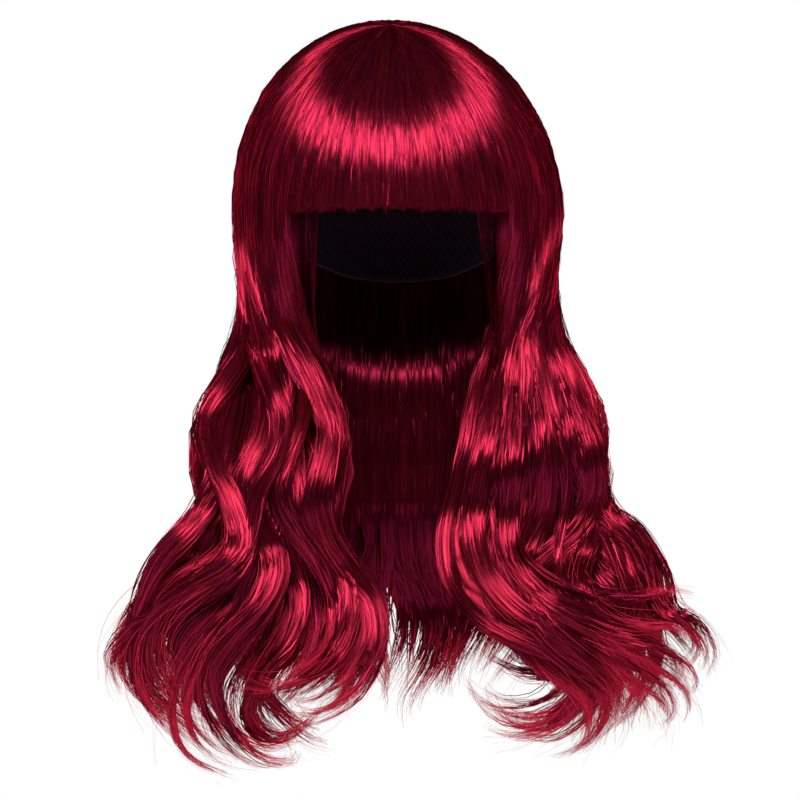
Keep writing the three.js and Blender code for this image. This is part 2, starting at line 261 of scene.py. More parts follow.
# The locks that show most, which leave the rest part of the way down and end in a hook.
RIGHT_TRESSES = (
    Tress(14, 8, (
        (92, -150), (92, -172), (95, -195), (106, -217), (116, -233), (117, -248), (110, -271),
        (102, -286), (96, -311), (106, -326), (131, -340), (144, -351), (154, -371), (154, -393),
        (140, -416), (121, -425),
    )),
    Tress(6, 8, (
        (79, -150), (74, -172), (64, -193), (50, -220), (42, -244), (46, -268), (50, -289), (42, -314),
        (28, -332), (16, -353), (17, -376), (31, -400), (56, -412), (74, -406),
    )),
    Tress(6, 9, (
        (98, -200), (100, -225), (105, -250), (109, -274), (120, -297), (139, -318), (151, -344),
        (155, -371), (149, -399), (129, -421), (111, -433),
    )),
    Tress(9, 8, (
        (84, -200), (79, -225), (82, -250), (92, -278), (82, -305), (73, -325), (79, -348), (98, -371),
        (112, -396), (103, -424), (83, -441), (65, -442), (61, -433),
    )),
    Tress(4, 4, (
        (86, -262), (88, -290), (95, -314), (111, -332), (132, -343), (152, -355), (169, -371),
        (176, -386), (170, -401),
    )),
    Tress(2, 6, (
        (62, -240), (63, -270), (59, -299), (41, -320), (30, -344), (35, -372), (52, -393), (76, -401),
        (95, -398),
    )),
    Tress(10, 7, (
        (94, -150), (90, -181), (80, -208), (70, -235), (74, -259), (85, -282), (88, -305), (95, -326),
        (117, -342), (138, -358), (143, -380), (132, -401), (114, -407),
    )),
    Tress(2, 5, (
        (75, -265), (72, -294), (65, -323), (59, -347), (65, -371), (82, -395), (89, -416), (74, -433),
        (53, -424), (44, -410),
    )),
    Tress(-4, 7, (
        (80, -250), (76, -280), (80, -308), (91, -333), (98, -358), (94, -383), (80, -405), (63, -421),
        (48, -428),
    )),
    Tress(5, 6, (
        (66, -190), (58, -215), (60, -240), (68, -262), (72, -285), (62, -308), (48, -330), (40, -356),
        (46, -380), (66, -396),
    )),
    Tress(-6, 7, (
        (98, -262), (108, -290), (120, -316), (130, -342), (135, -368), (131, -394), (117, -416),
        (99, -430),
    )),
)
LEFT_TRESSES = (
    Tress(3, 5, (
        (58, -180), (52, -203), (46, -226), (42, -250), (36, -277), (29, -308), (33, -338), (51, -360),
        (80, -374), (109, -384), (118, -398), (108, -415), (88, -427), (69, -425), (56, -411),
        (54, -400),
    )),
    Tress(4, 8, (
        (62, -205), (58, -230), (53, -256), (48, -280), (46, -302), (51, -326), (68, -349), (93, -365),
        (110, -380), (112, -401), (98, -421), (76, -430), (59, -425),
    )),
    Tress(6, 9, (
        (96, -205), (106, -232), (116, -258), (118, -284), (106, -308), (86, -324), (76, -342),
        (86, -363), (105, -378), (125, -393), (129, -410), (116, -423),
    )),
    Tress(3, 9, (
        (100, -215), (108, -240), (116, -268), (126, -294), (144, -308), (156, -329), (161, -351),
        (176, -359), (185, -375), (179, -388),
    )),
    Tress(4, 8, (
        (80, -205), (85, -232), (88, -262), (87, -290), (80, -312), (74, -328), (82, -347), (104, -360),
        (126, -371), (146, -377), (163, -388), (168, -404), (156, -413),
    )),
    Tress(4, 7, (
        (98, -210), (106, -238), (114, -264), (118, -288), (116, -311), (107, -332), (116, -351),
        (139, -360), (161, -360), (176, -369),
    )),
    Tress(3, 3, (
        (56, -284), (60, -305), (66, -326), (80, -353), (102, -376), (99, -392), (79, -393), (62, -386),
        (54, -378),
    )),
    Tress(3, 7, (
        (72, -210), (70, -240), (67, -270), (66, -299), (70, -323), (89, -341), (116, -354),
        (135, -371), (143, -393), (135, -411),
    )),
    Tress(2, 8, (
        (100, -225), (108, -255), (118, -284), (132, -309), (141, -332), (147, -356), (140, -382),
    )),
    Tress(3, 4, (
        (92, -230), (100, -258), (102, -285), (99, -310), (98, -334), (112, -352), (124, -372),
        (126, -396), (112, -414), (96, -418),
    )),
)
BACK_BUNCH = Bunch(
    side=1,
    start=-BACK_ANGLE,
    end=BACK_ANGLE - 360,
    facing=1,
    loyal=0.45,
    sunk=0.0,
    late=20.0,
    slant=0.0,
    stray=0.45,
    groove=0.2,
    leave=-245.0,
    cling=-230.0,
    rooted=0.0,
    ragged=6.0,
    sections=(
        Section(-110, -92, 92, 115, 70),
        Section(-165, -90, 90, 111, 62),
        Section(-195, -84, 84, 103, 54),
        Section(-230, -88, 88, 113, 58),
        Section(-262, -93, 93, 121, 62),
        Section(-297, -84, 84, 108, 60),
    ),
    locks=(
        Lock(0.07, 0.5, 88, 128, (-20, -10, 28, 34, -10)),
        Lock(0.21, 0.5, 92, 136, (-14, 10, 30, 0, -34)),
        Lock(0.35, 0.5, 96, 142, (-12, -16, 14, 28, -12)),
        Lock(0.5, 0.5, 98, 146, (10, 18, -10, -24, 14)),
        Lock(0.65, 0.5, 96, 142, (12, 16, -14, -28, 12)),
        Lock(0.79, 0.5, 92, 136, (14, -10, -30, 0, 34)),
        Lock(0.93, 0.5, 88, 128, (20, 10, -28, -34, 10)),
    ),
)

# A lock's wisps: how unevenly they stand round its middle one, how far out, how long they are beside it, and
# how much their headings sway and lean, in degrees, the lean for each 100 mm. They come free of the lock's
# own heading over a first fall, and start within limits across the bunch and through its layers.
WISP = {
    "uneven": 0.3,
    "out": (0.5, 0.68),
    "length": (0.82, 1.06),
    "sway": 6.0,
    "wave": (70.0, 120.0),
    "lean": 5.0,
    "free": 60.0,
    "across": (0.01, 0.99),
    "layer": (0.05, 1.05),
}
WISPS_PER_LOCK = 7

# Below the waist strands gather into wisps over a fall, keep within a reach of the lock's middle, and draw
# closer. Strands that grow about as near to a second lock follow both.
GATHER = {"fall": 60.0, "reach": 1.15, "closer": 0.7, "frizz": 40.0, "turn": 50.0, "outward": 0.2}
STRAND_REACH = (0.62, 0.88, 1.0)
SHARED = (0.2, 0.5)
CURL_RUN = 160.0

# Strands over the dome and down: shares of the way from the whorl, and runs in millimetres from it, over
# which they begin to drift, lift, tighten, roughen and calm down.
HEAD_SHARES = (0.004, 0.95)
FRINGE_SHARES = (0.004, 1.0)
HEAD_RUN = (3.0, 142.0)
RING_RUN = 150.0
DRIFT_RUN = (20.0, 120.0)
LIFT_RUN = (15.0, 60.0)
TIGHT_RUN = (150.0, 330.0)
ROUGH_RUN = (130.0, 230.0)
CALM_RUN = (310.0, 337.0)
ROUGH_MOST = 3.2
BEND_REACH = 5
JOIN_ROWS = 4

# Strands stand in clumps, scattered about the middle of each, and clumps draw tighter on their way down.
CLUMPS = 64
FRINGE_CLUMPS = 160
CLUMP_SCATTER = 0.5
CLUMP_EDGE = 1.2
CLUMP_TIGHT = 0.75
CLUMP_FILL = 0.9
STRAND_ACROSS = (-0.03, 1.03)

# How deep strands lie, as a share of the hair, and how late they take the waves, by strand and by clump.
SINK = {"strand": 0.03, "clump": 0.018}
LATENESS = {"strand": 6.0, "clump": 5.0}
FRINGE_SINK = {"strand": 0.035, "clump": 0.02, "under": (0.1, 0.5), "tucked": 0.06}
FRINGE_TUCK = (0.75, 1.0)
FRINGE_UNDER = 0.25

# The fringe's cut is a little uneven, in millimetres, and its strands narrow less there than at a tip.
FRINGE_CUT = {"clump": 0.7, "strand": 1.0, "width": 0.6, "share": 0.9}

# Hair inside a bunch lies on its inner face or round its locks, where it is drawn to the middle higher up.
# The inner face's tones are scaled down by its tone share: painted shade, which dims the highlights inside
# the wig.
INNER_FACE = {"share": 0.4, "layer": (0.0, 0.12), "start": (-100.0, -90.0), "tone": 0.3}
INNER_START = (-260.0, -215.0)
INNER_DRAWN = 0.4
INNER_OUT = (0.7, 1.0)
INNER_ACROSS = (-0.02, 1.02)
INNER_LAYER = (0.0, 0.97)

# The range of tones on each part, from 0 for the darkest dye to 1 for the brightest.
TONES = {
    "surface": (0.25, 1.0),
    "inner": (0.35, 1.0),
    "fringe": (0.0, 1.0),
    "loose": (0.6, 1.0),
    "tress": (0.1, 0.7),
}

# Waves along strands: their lengths in millimetres, and the size of each. Heights and frizz are in
# millimetres, the fringe's drift is in degrees, and the rest are shares of a bunch.
WAVES = {
    "clump drift": ((260, 130), (0.006, 0.003)),
    "strand drift": ((200, 90), (0.006, 0.003)),
    "fringe clump drift": ((220, 120), (0.35, 0.2)),
    "fringe drift": ((180, 90), (0.4, 0.2)),
    "inner drift": ((160, 70), (0.008, 0.004)),
    "inner depth": ((130, 80), (0.05, 0.03)),
    "clump height": ((75, 40), (0.5, 0.18)),
    "strand height": ((80, 42), (0.4, 0.15)),
    "curl frizz": ((90, 34), (1.0, 0.4)),
    "tress frizz": ((110, 45), (1.3, 0.6)),
}

# Loose hairs: how far they spring from each part, where they leave it, and how they wave and narrow.
SPRING = {"fringe": 0.5, "surface": 3.2, "tress": 2.6}
LOOSE_LEAVES = (0.3, 0.85)
LOOSE_RUN = 400.0
LOOSE_LIFT = 0.6
LOOSE_SHAPE = 2.0
LOOSE_FARTHEST = 3.0
LOOSE_ASIDE = 2.0
LOOSE_WAVES = {"away": (120, 60), "aside": (130, 70)}
LOOSE_EASE = {"outward": 8, "points": 5}
LOOSE_TIP = {"share": 0.8, "width": 0.4}

# Rows of points down a strand: over the dome, down to the waist, and along its curl.
HEAD_ROWS = 12
HANG_ROWS = 14
INNER_ROWS = 9
CURL_ROWS = 18
TRESS_ROWS = 34
FRINGE_ROWS = 14
CURL_STEPS = 60

# The last part of a strand narrows to its tip, which lets more light through, and its tone is raised there
# towards the brightest dye: painted light for the light that passes through. Past half of its rows, what is
# narrower than the fine width, in millimetres, is dressed as a fine end.
TIP_SHARE = 0.25
TIP_WIDTH = 0.15
TIP_PAINTED_LIGHT = 0.7
FINE_WIDTH = 0.34
WHORL_WIDTH = 0.3
WHORL_SHARE = 0.12
WIDTH_RANGE = (0.75, 1.25)
RIBBON_ROLL = 0.5

# The dense hair under the strands of a bunch and inside its wisps, in shares of each.
CORE_COLUMNS = 48
CORE_RINGS = 18
CORE_TOP = 8.0
CORE_SUNK = (0.13, 0.22)
CORE_LEVELS = (130.0, 230.0)
CORE_SQUARE = 0.6
CORE_FILL = {"across": 0.94, "layer": 0.9}
CORE_FOOT = {"drop": 12.0, "drawn": 0.35}
CORE_SIDES = 6
CORE_STEP = 4
CORE_SHARE = 0.67
CORE_NARROWING = 0.9
CORE_ROOT = {"sunk": 0.5, "size": 0.3}
WISP_CORE = 0.26
TUBE_TONE_STEP = 0.37

# The dense hair over the cap: its outer layer, and its inner ones over the dome and at its foot.
DOME_ROWS = 12
DOME_LAYER = 0.88
DOME_FOOT = (0.7, 1.0)
FRINGE_DOME = {"columns": 24, "low": EDGE_LEVEL + 5, "inner": (0.1, 0.5)}
CROWN_DOME = {"columns": 72, "low": EDGE_LEVEL - 1, "inner": (0.06, 0.06)}

# The cap's mesh, and the rows of weft sewn round it.
CAP_COLUMNS = 72
CAP_ROWS = 90
CAP_FINE_ROWS = 721
WEFT = {"spacing": 12.0, "height": 0.7, "sharpness": 6, "first": 40.0, "hem": 0.05}

# A ribbon's or a tube's places on the bake's map keep this far inside their cell.
RIBBON_MARGIN = 0.06
TUBE_MARGIN = 0.02

# Looks of the fibre. Lengths are in metres.
FIBRE_SPACING = 0.0008
FIBRE_TONE_RUN = 0.04
FIBRE_APART = 90.0
FIBRE_MOTTLE = 0.3
FIBRE_ROUGHNESS = 0.4
FIBRE_IOR = 1.53
FIBRE_GROOVE = 0.6
FIBRE_SHINE = 0.9
ENDS_SHINE = 0.0

# Looks of the net and the paper.
NET_WAVE = 0.3
NET_HOLE = 0.35
NET_RELIEF = {"strength": 0.7, "height": 0.0006}
PAPER_GRAINS_PER_METRE = 300.0
PAPER_RELIEF = {"strength": 0.05, "height": 0.0005}
PAPER_FADE = (0.3, 0.95)
PAPER_LIFT = 0.4
FLOOR_SIDES = 96


class Softbox(NamedTuple):
    """One studio light: where it stands, where it looks, and its width and height."""

    place: tuple
    target: tuple
    size: tuple


# The camera's lens and sensor are in millimetres. Sides of the rim lights are the picture's.
KEY = Softbox((-0.2, -1.75, 1.02), (0, -0.1, -0.08), (1.4, 0.75))
BOUNCE = Softbox((0.1, -1.6, -1.15), (0, -0.1, -0.3), (1.6, 0.8))
RIMS = {
    "rim_right": Softbox((1.5, 0.7, 0.2), (0.05, 0, -0.25), (0.4, 1.4)),
    "rim_left": Softbox((-1.5, 0.7, 0.2), (-0.05, 0, -0.25), (0.4, 1.4)),
}
LENS = 162.3
SENSOR_WIDTH = 36.0
CAMERA_ASIDE = 0.0012


def smoothstep(value, low, high):
    t = np.clip((value - low) / (high - low), 0.0, 1.0)
    return t * t * (3 - 2 * t)


def lerp(start, end, share):
    return start + (end - start) * share


def unit(vectors):
    length = np.linalg.norm(vectors, axis=-1, keepdims=True)
    return vectors / np.maximum(length, 1e-9)


def dot(first, second):
    return np.sum(first * second, axis=-1)


def through(values, position):
    """A smooth curve through evenly numbered values, where position counts them from the first."""
    values = np.asarray(values, dtype=float)
    last = len(values) - 1
    position = np.clip(position, 0, last)
    row = np.minimum(np.floor(position).astype(int), last - 1)
    t = position - row
    leaving = (values[row + 1] - values[np.maximum(row - 1, 0)]) / 2
    arriving = (values[np.minimum(row + 2, last)] - values[row]) / 2
    rise = values[row + 1] - values[row]
    square = 3 * rise - 2 * leaving - arriving
    cube = leaving + arriving - 2 * rise
    return values[row] + t * (leaving + t * (square + t * cube))


def hair_halves(layer):
    """Half sizes of the hair's layers: 0 lies on the cap and 1 is the outside."""
    return lerp(HEAD + CAP_WALL, HAIR, np.asarray(layer, dtype=float)[..., None])


def crown_point(angle, share, layer):
    """Points a share of the way from the whorl down to the dome's widest ring, at angles from the front."""
    angle, share, layer = np.broadcast_arrays(angle, share, layer)
    tilt = math.radians(WHORL_TILT)
    whorl = np.array((0.0, -math.sin(tilt), math.cos(tilt)))
    turn = np.radians(angle)
    ring = np.stack((np.sin(turn), -np.cos(turn), np.zeros_like(turn)), axis=-1)
    arc = np.arccos(ring @ whorl)[..., None]
    share = share[..., None]
    direction = (whorl * np.sin((1 - share) * arc) + ring * np.sin(share * arc)) / np.sin(arc)
    point = direction * hair_halves(layer)
    point[..., 0] -= CROWN_LEAN * point[..., 2] / HAIR[2]
    return point + CENTRE


def section_at(bunch, level):
    """The four sides of a bunch at each level."""
    table = np.array(bunch.sections, dtype=float)
    rows = np.arange(len(table))
    position = np.interp(-level, -table[:, 0], rows)
    return [through(table[:, column], position) for column in range(1, table.shape[1])]


def hanging_point(bunch, across, layer, level, late=0.0):
    """Where hair that grows at one place in a bunch has come to at a level above the waist.

    late is how far below the rest of the bunch this hair takes its waves.
    """
    across, layer, level = np.broadcast_arrays(across, layer, level)
    angle = np.radians(lerp(bunch.start, bunch.end, across))
    halves = hair_halves(layer)
    on_head = np.stack(
        (bunch.side * halves[..., 0] * np.sin(angle), -halves[..., 1] * np.cos(angle), level), axis=-1
    )
    inner, outer, front, back = section_at(bunch, level + late)
    middle = (front + back) / 2
    bow = np.sqrt(np.maximum(1 - BOW * (2 * across - 1) ** 2, 0))
    hanging = np.stack(
        (
            bunch.side * lerp(inner, outer, across),
            middle + (front - middle) * bow * (2 * layer - 1),
            level,
        ),
        axis=-1,
    )
    left_head = smoothstep(-level - late, -EDGE_LEVEL, -bunch.leave)[..., None]
    return lerp(on_head, hanging, left_head)


def waves(rng, count, place, lengths, sizes):
    """Slow wandering along each strand, as a sum of waves of the given lengths and sizes."""
    total = np.zeros((count, place.shape[-1]))
    for length, size in zip(lengths, sizes):
        phase = rng.uniform(0, 1, (count, 1))
        strength = rng.normal(0, size, (count, 1))
        total += strength * np.sin(2 * math.pi * (place / length + phase))
    return total


class Strands(NamedTuple):
    """A batch of strands: points, the way each point looks outward, widths, and a tone for each strand."""

    points: np.ndarray
    outward: np.ndarray
    widths: np.ndarray
    tones: np.ndarray


class Wisps(NamedTuple):
    """The small bundles that a bunch's locks split into, each with its middle line and its frame along it."""

    lock: np.ndarray
    place: np.ndarray
    offset: np.ndarray
    half: np.ndarray
    fall: np.ndarray
    centre: np.ndarray
    sideways: np.ndarray
    outward: np.ndarray


def lock_size(bunch, lock):
    """Half width and half depth of a lock."""
    edges = hanging_point(bunch, np.array((0.0, 1.0)), lock.layer, WAIST_LEVEL)
    faces = hanging_point(bunch, 0.5, np.array((0.0, 1.0)), WAIST_LEVEL)
    width = np.linalg.norm(edges[1] - edges[0]) * LOCK_HALF_WIDTH
    depth = np.linalg.norm(faces[1] - faces[0]) * LOCK_HALF_DEPTH
    return np.array((width, depth))


def wisp_lines(bunch, rng):
    """Middle lines of every wisp of a bunch, from the waist to its tip."""
    share = np.linspace(0, 1, CURL_STEPS + 1)
    made = []
    for index, lock in enumerate(bunch.locks):
        waist = hanging_point(bunch, lock.across, lock.layer, WAIST_LEVEL)
        root = hanging_point(bunch, lock.across, lock.layer, WAIST_LEVEL + LOCK_ROOT)
        half = lock_size(bunch, lock)
        slope = math.degrees(math.atan2(bunch.side * (waist[0] - root[0]), root[2] - waist[2]))
        for wisp in range(WISPS_PER_LOCK):
            turn = 2 * math.pi * (wisp + rng.uniform(-WISP["uneven"], WISP["uneven"])) / (WISPS_PER_LOCK - 1)
            spread = 0.0 if wisp == 0 else rng.uniform(*WISP["out"])
            across = np.clip(lock.across + LOCK_HALF_WIDTH * spread * math.cos(turn), *WISP["across"])
            layer = np.clip(lock.layer + LOCK_HALF_DEPTH * spread * math.sin(turn), *WISP["layer"])
            fall = lock.fall * (1.0 if wisp == 0 else rng.uniform(*WISP["length"]))
            stride = fall / CURL_STEPS
            fallen = fall * share
            middle = fallen[1:] - stride / 2
            sway = rng.normal(0, WISP["sway"])
            phase = middle / rng.uniform(*WISP["wave"]) + rng.uniform(0, 1)
            lean = rng.normal(0, WISP["lean"]) * middle / 100
            own = (sway * np.sin(2 * math.pi * phase) + lean) * smoothstep(middle, 0, WISP["free"])
            heading = np.radians(through((slope, *lock.swing), middle / STATION) + own)
            sideways_run = np.concatenate(((0,), np.cumsum(bunch.side * np.sin(heading) * stride)))
            drop = np.concatenate(((0,), np.cumsum(np.cos(heading) * stride)))
            heading = np.concatenate((heading[:1], heading))
            bulge = np.sin(heading) - math.sin(math.radians(slope))
            bulge = CURL_DEPTH * bulge * smoothstep(fallen, 0, STATION)
            chest = lock.chest - bunch.facing * bunch.sunk
            forward = lerp(waist[1], chest, smoothstep(fallen, 0, CHEST_FALL)) + bunch.facing * bulge
            line = np.stack((waist[0] + sideways_run, forward, waist[2] - drop), axis=-1)
            along = unit(np.gradient(line, axis=0))
            out = np.array((bunch.side * LOCK_TURN_OUT * (2 * lock.across - 1), bunch.facing, 0.0))
            outward = unit(out - along * dot(along, out)[:, None])
            sideways = np.cross(outward, along)
            away = hanging_point(bunch, across, layer, WAIST_LEVEL) - waist
            offset = np.array((dot(away, sideways[0]), dot(away, outward[0])))
            thin = (1 - LOCK_NARROWING * share**2)[:, None]
            centre = line + (sideways * offset[0] + outward * offset[1]) * thin
            made.append((index, (across, layer), offset, half, fall, centre, sideways, outward))
    return Wisps(*(np.array(column) for column in zip(*made)))


def along_wisp(table, wisp, share):
    """Values of a wisp's table at shares of its length, for each strand."""
    place = np.clip(share, 0, 1) * CURL_STEPS
    row = np.minimum(place.astype(int), CURL_STEPS - 1)
    part = (place - row)[..., None]
    return lerp(table[wisp[:, None], row], table[wisp[:, None], row + 1], part)


def bunch_outward(bunch, across, layer, level):
    """The way that a bunch's surface looks, turning from its outer face round its edges to its inner one."""
    step = 0.02
    outer, inner = (hanging_point(bunch, across, layer + one, level) for one in (step, -step))
    after, before = (hanging_point(bunch, across + one, layer, level) for one in (step, -step))
    edge = (2 * across - 1)[..., None]
    face = (2 * layer - 1)[..., None]
    return unit(unit(outer - inner) * face + unit(after - before) * edge**3)


def nearest_locks(bunch, across, layer):
    """The two locks of a bunch that hair at each place lies nearest to, and how far off they are."""
    places = np.array([(lock.across, lock.layer) for lock in bunch.locks])
    apart = (np.stack((across, layer), axis=-1)[:, None] - places) / (LOCK_HALF_WIDTH, LOCK_HALF_DEPTH)
    apart = np.linalg.norm(apart, axis=-1)
    order = np.argsort(apart, axis=1)[:, :2]
    return order, np.take_along_axis(apart, order, axis=1)


def winding(level):
    """How freely hair winds at a level: not at all at the top and at the waist, and fully between them."""
    begins = smoothstep(-level, STRAY["top"], STRAY["full"])
    return begins * (1 - smoothstep(-level, STRAY["fades"], -WAIST_LEVEL))


def inside_edges(across):
    """1 in the middle of a bunch, falling to 0 at its edges."""
    return 1 - np.clip(np.abs(2 * across - 1), 0, 1) ** 3


def lock_stray(bunch, lock, across, level, own):
    """How each lock winds about its even place above the waist, so that creases open by it.

    own is how late each strand takes the bunch's waves, beside its lock's lateness.
    """
    phase = STRAY["step"] * lock[:, None]
    turn = 2 * math.pi * (-level - STRAY["top"]) / STRAY["wave"] + phase
    window = winding(level)
    inside = inside_edges(across)
    aside = STRAY["across"] * np.sin(turn) * inside
    sunk = STRAY["layer"] * (np.cos(turn) - 1)
    late = bunch.late * np.sin(phase) + bunch.slant * (across - SLANT_MIDDLE) + own[:, None] * inside
    wound = window * bunch.stray
    return aside * wound, sunk * wound, late * window


def follow_lock(bunch, wisps, lock, across, layer, share, frizz):
    """Strands from their places at the waist along the nearest wisp of a lock."""
    count = len(across)
    places = np.array([(one.across, one.layer) for one in bunch.locks])
    waist = hanging_point(bunch, across, layer, np.full(count, WAIST_LEVEL))
    middles = hanging_point(bunch, places[:, 0], places[:, 1], np.full(len(places), WAIST_LEVEL))
    first = np.array([np.flatnonzero(wisps.lock == index)[0] for index in range(len(places))])[lock]
    away = waist - middles[lock]
    offset = np.stack((dot(away, wisps.sideways[first, 0]), dot(away, wisps.outward[first, 0])), axis=-1)
    rest = away - wisps.sideways[first, 0] * offset[:, :1] - wisps.outward[first, 0] * offset[:, 1:]
    half = wisps.half[first]
    reach = np.linalg.norm(offset / half, axis=-1)
    gaps = np.linalg.norm((offset[:, None] - wisps.offset[None]) / half[:, None], axis=-1)
    gaps[lock[:, None] != wisps.lock[None]] = np.inf
    wisp = np.argmin(gaps, axis=1)
    fallen = share * wisps.fall[wisp][:, None]
    gathered = smoothstep(fallen, 0, GATHER["fall"])
    pulled = lerp(1.0, 1 / np.maximum(reach / GATHER["reach"], 1)[:, None], gathered)
    own = offset[:, None] * pulled[..., None] - wisps.offset[wisp][:, None]
    own = own * (1 - GATHER["closer"] * share**2)[..., None]
    own = own + frizz * smoothstep(fallen, 0, GATHER["frizz"])[..., None]
    sideways = along_wisp(wisps.sideways, wisp, share)
    outward = along_wisp(wisps.outward, wisp, share)
    points = along_wisp(wisps.centre, wisp, share) + sideways * own[..., :1] + outward * own[..., 1:]
    points = points + rest[:, None] * (1 - gathered)[..., None]
    looks = (2 * offset - wisps.offset[wisp]) / half
    aside, ahead = looks[:, None, :1], looks[:, None, 1:]
    normals = unit(sideways * aside + outward * ahead + outward * GATHER["outward"])
    return points, normals


def curl_strands(bunch, wisps, rng, across, layer):
    """Carries strands on from the waist. Some keep to one lock, and some fill the room between two."""
    count = len(across)
    lock, apart = nearest_locks(bunch, across, layer)
    share = rng.triangular(*STRAND_REACH, (count, 1)) * np.linspace(0, 1, CURL_ROWS)
    run = share * CURL_RUN
    frizz = np.stack([waves(rng, count, run, *WAVES["curl frizz"]) for _ in range(2)], axis=-1)
    own = [follow_lock(bunch, wisps, lock[:, k], across, layer, share, frizz) for k in range(2)]
    between = apart[:, 0] / np.sum(apart, axis=1)
    loyal = rng.uniform(0, 1, count) < bunch.loyal
    mix = np.where(loyal, 0.0, 0.5 * smoothstep(between, *SHARED))[:, None, None]
    points = lerp(own[0][0], own[1][0], mix)
    normals = unit(lerp(own[0][1], own[1][1], mix))
    return points, normals, smoothstep(run, 0, GATHER["turn"])


def strand_widths(rng, width, shares, from_whorl):
    """Widths along strands: narrow where they crowd at the whorl, full between, and drawn out at the tip."""
    full = width * rng.uniform(*WIDTH_RANGE, (len(shares), 1))
    tip = lerp(1.0, TIP_WIDTH, smoothstep(shares, 1 - TIP_SHARE, 1))
    root = lerp(WHORL_WIDTH, 1.0, smoothstep(shares, 0, WHORL_SHARE)) if from_whorl else 1.0
    return full * tip * root


def row_shares(points):
    """Each row's share of the way down its strand."""
    return np.broadcast_to(np.linspace(0, 1, points.shape[1]), points.shape[:2])


def spread_rows(rng, count, first, last, rows):
    """Even steps from first to last for each strand, with no two strands' steps at the same places."""
    step = np.linspace(0, 1, rows)
    shift = rng.uniform(-0.5, 0.5, (count, 1)) / (rows - 1) * np.sin(math.pi * step)
    return lerp(first, last, step + shift)


def clumped(rng, count, clumps):
    """Each strand's clump, picked by chance, and its place across the clump, about -1 to 1."""
    clump = rng.integers(0, clumps, count)
    return clump, np.clip(rng.normal(0, CLUMP_SCATTER, count), -CLUMP_EDGE, CLUMP_EDGE)


def outer_layer(bunch, across, level):
    """How far out a bunch's outer face lies: full on the dome, and below it round-edged and grooved."""
    outside = np.array([lock.across for lock in bunch.locks if lock.layer >= 0.5])
    nearest = np.min(np.abs(across[..., None] - outside), axis=-1) / (0.5 / len(outside))
    parted = smoothstep(-level, -EDGE_LEVEL, -WAIST_LEVEL)
    groove = bunch.groove * np.clip(nearest, 0, 1) ** 2 * parted
    edge = np.clip(np.abs(2 * across - 1), 0, 1)
    rounded = 0.5 + 0.5 * (1 - edge**4) ** 0.25
    return lerp(1.0, rounded, smoothstep(-level, -EDGE_LEVEL, EDGE_ROUNDED - EDGE_LEVEL)) - groove


def round_locks(bunch, rng, count):
    """Places in a bunch, spread round the outsides of its locks."""
    places = np.array([(one.across, one.layer) for one in bunch.locks])
    lock = places[rng.integers(0, len(places), count)]
    turn = rng.uniform(0, 2 * math.pi, count)
    spread = rng.uniform(*INNER_OUT, count)
    across = np.clip(lock[:, 0] + LOCK_HALF_WIDTH * spread * np.cos(turn), *INNER_ACROSS)
    return across, lock[:, 1] + LOCK_HALF_DEPTH * spread * np.sin(turn)


def hang_and_curl(bunch, wisps, rng, across, layer, level, late):
    """Points of strands down their levels and on along their curls, and the way that they look."""
    hanging = hanging_point(bunch, across, layer, level, late)
    hang_out = bunch_outward(bunch, across, layer, level)
    curl, curl_out, gathered = curl_strands(bunch, wisps, rng, across[:, -1], layer[:, -1])
    curl_out = unit(lerp(hang_out[:, -1:], curl_out, gathered[..., None]))
    points = np.concatenate((hanging, curl[:, 1:]), axis=1)
    return points, np.concatenate((hang_out, curl_out[:, 1:]), axis=1)


def ease_bend(points, row, reach):
    """Strands with the turn that they take round the dome at one row eased over the rows within reach."""
    place = points[..., :2] / HAIR[:2]
    radius = np.linalg.norm(place, axis=-1, keepdims=True)
    for spread in range(2 * reach, 1, -1):
        rows = np.arange(row - spread // 2, row + spread // 2)
        place[:, rows] = (place[:, rows - 1] + 2 * place[:, rows] + place[:, rows + 1]) / 4
    points[..., :2] = unit(place) * radius * HAIR[:2]
    return points


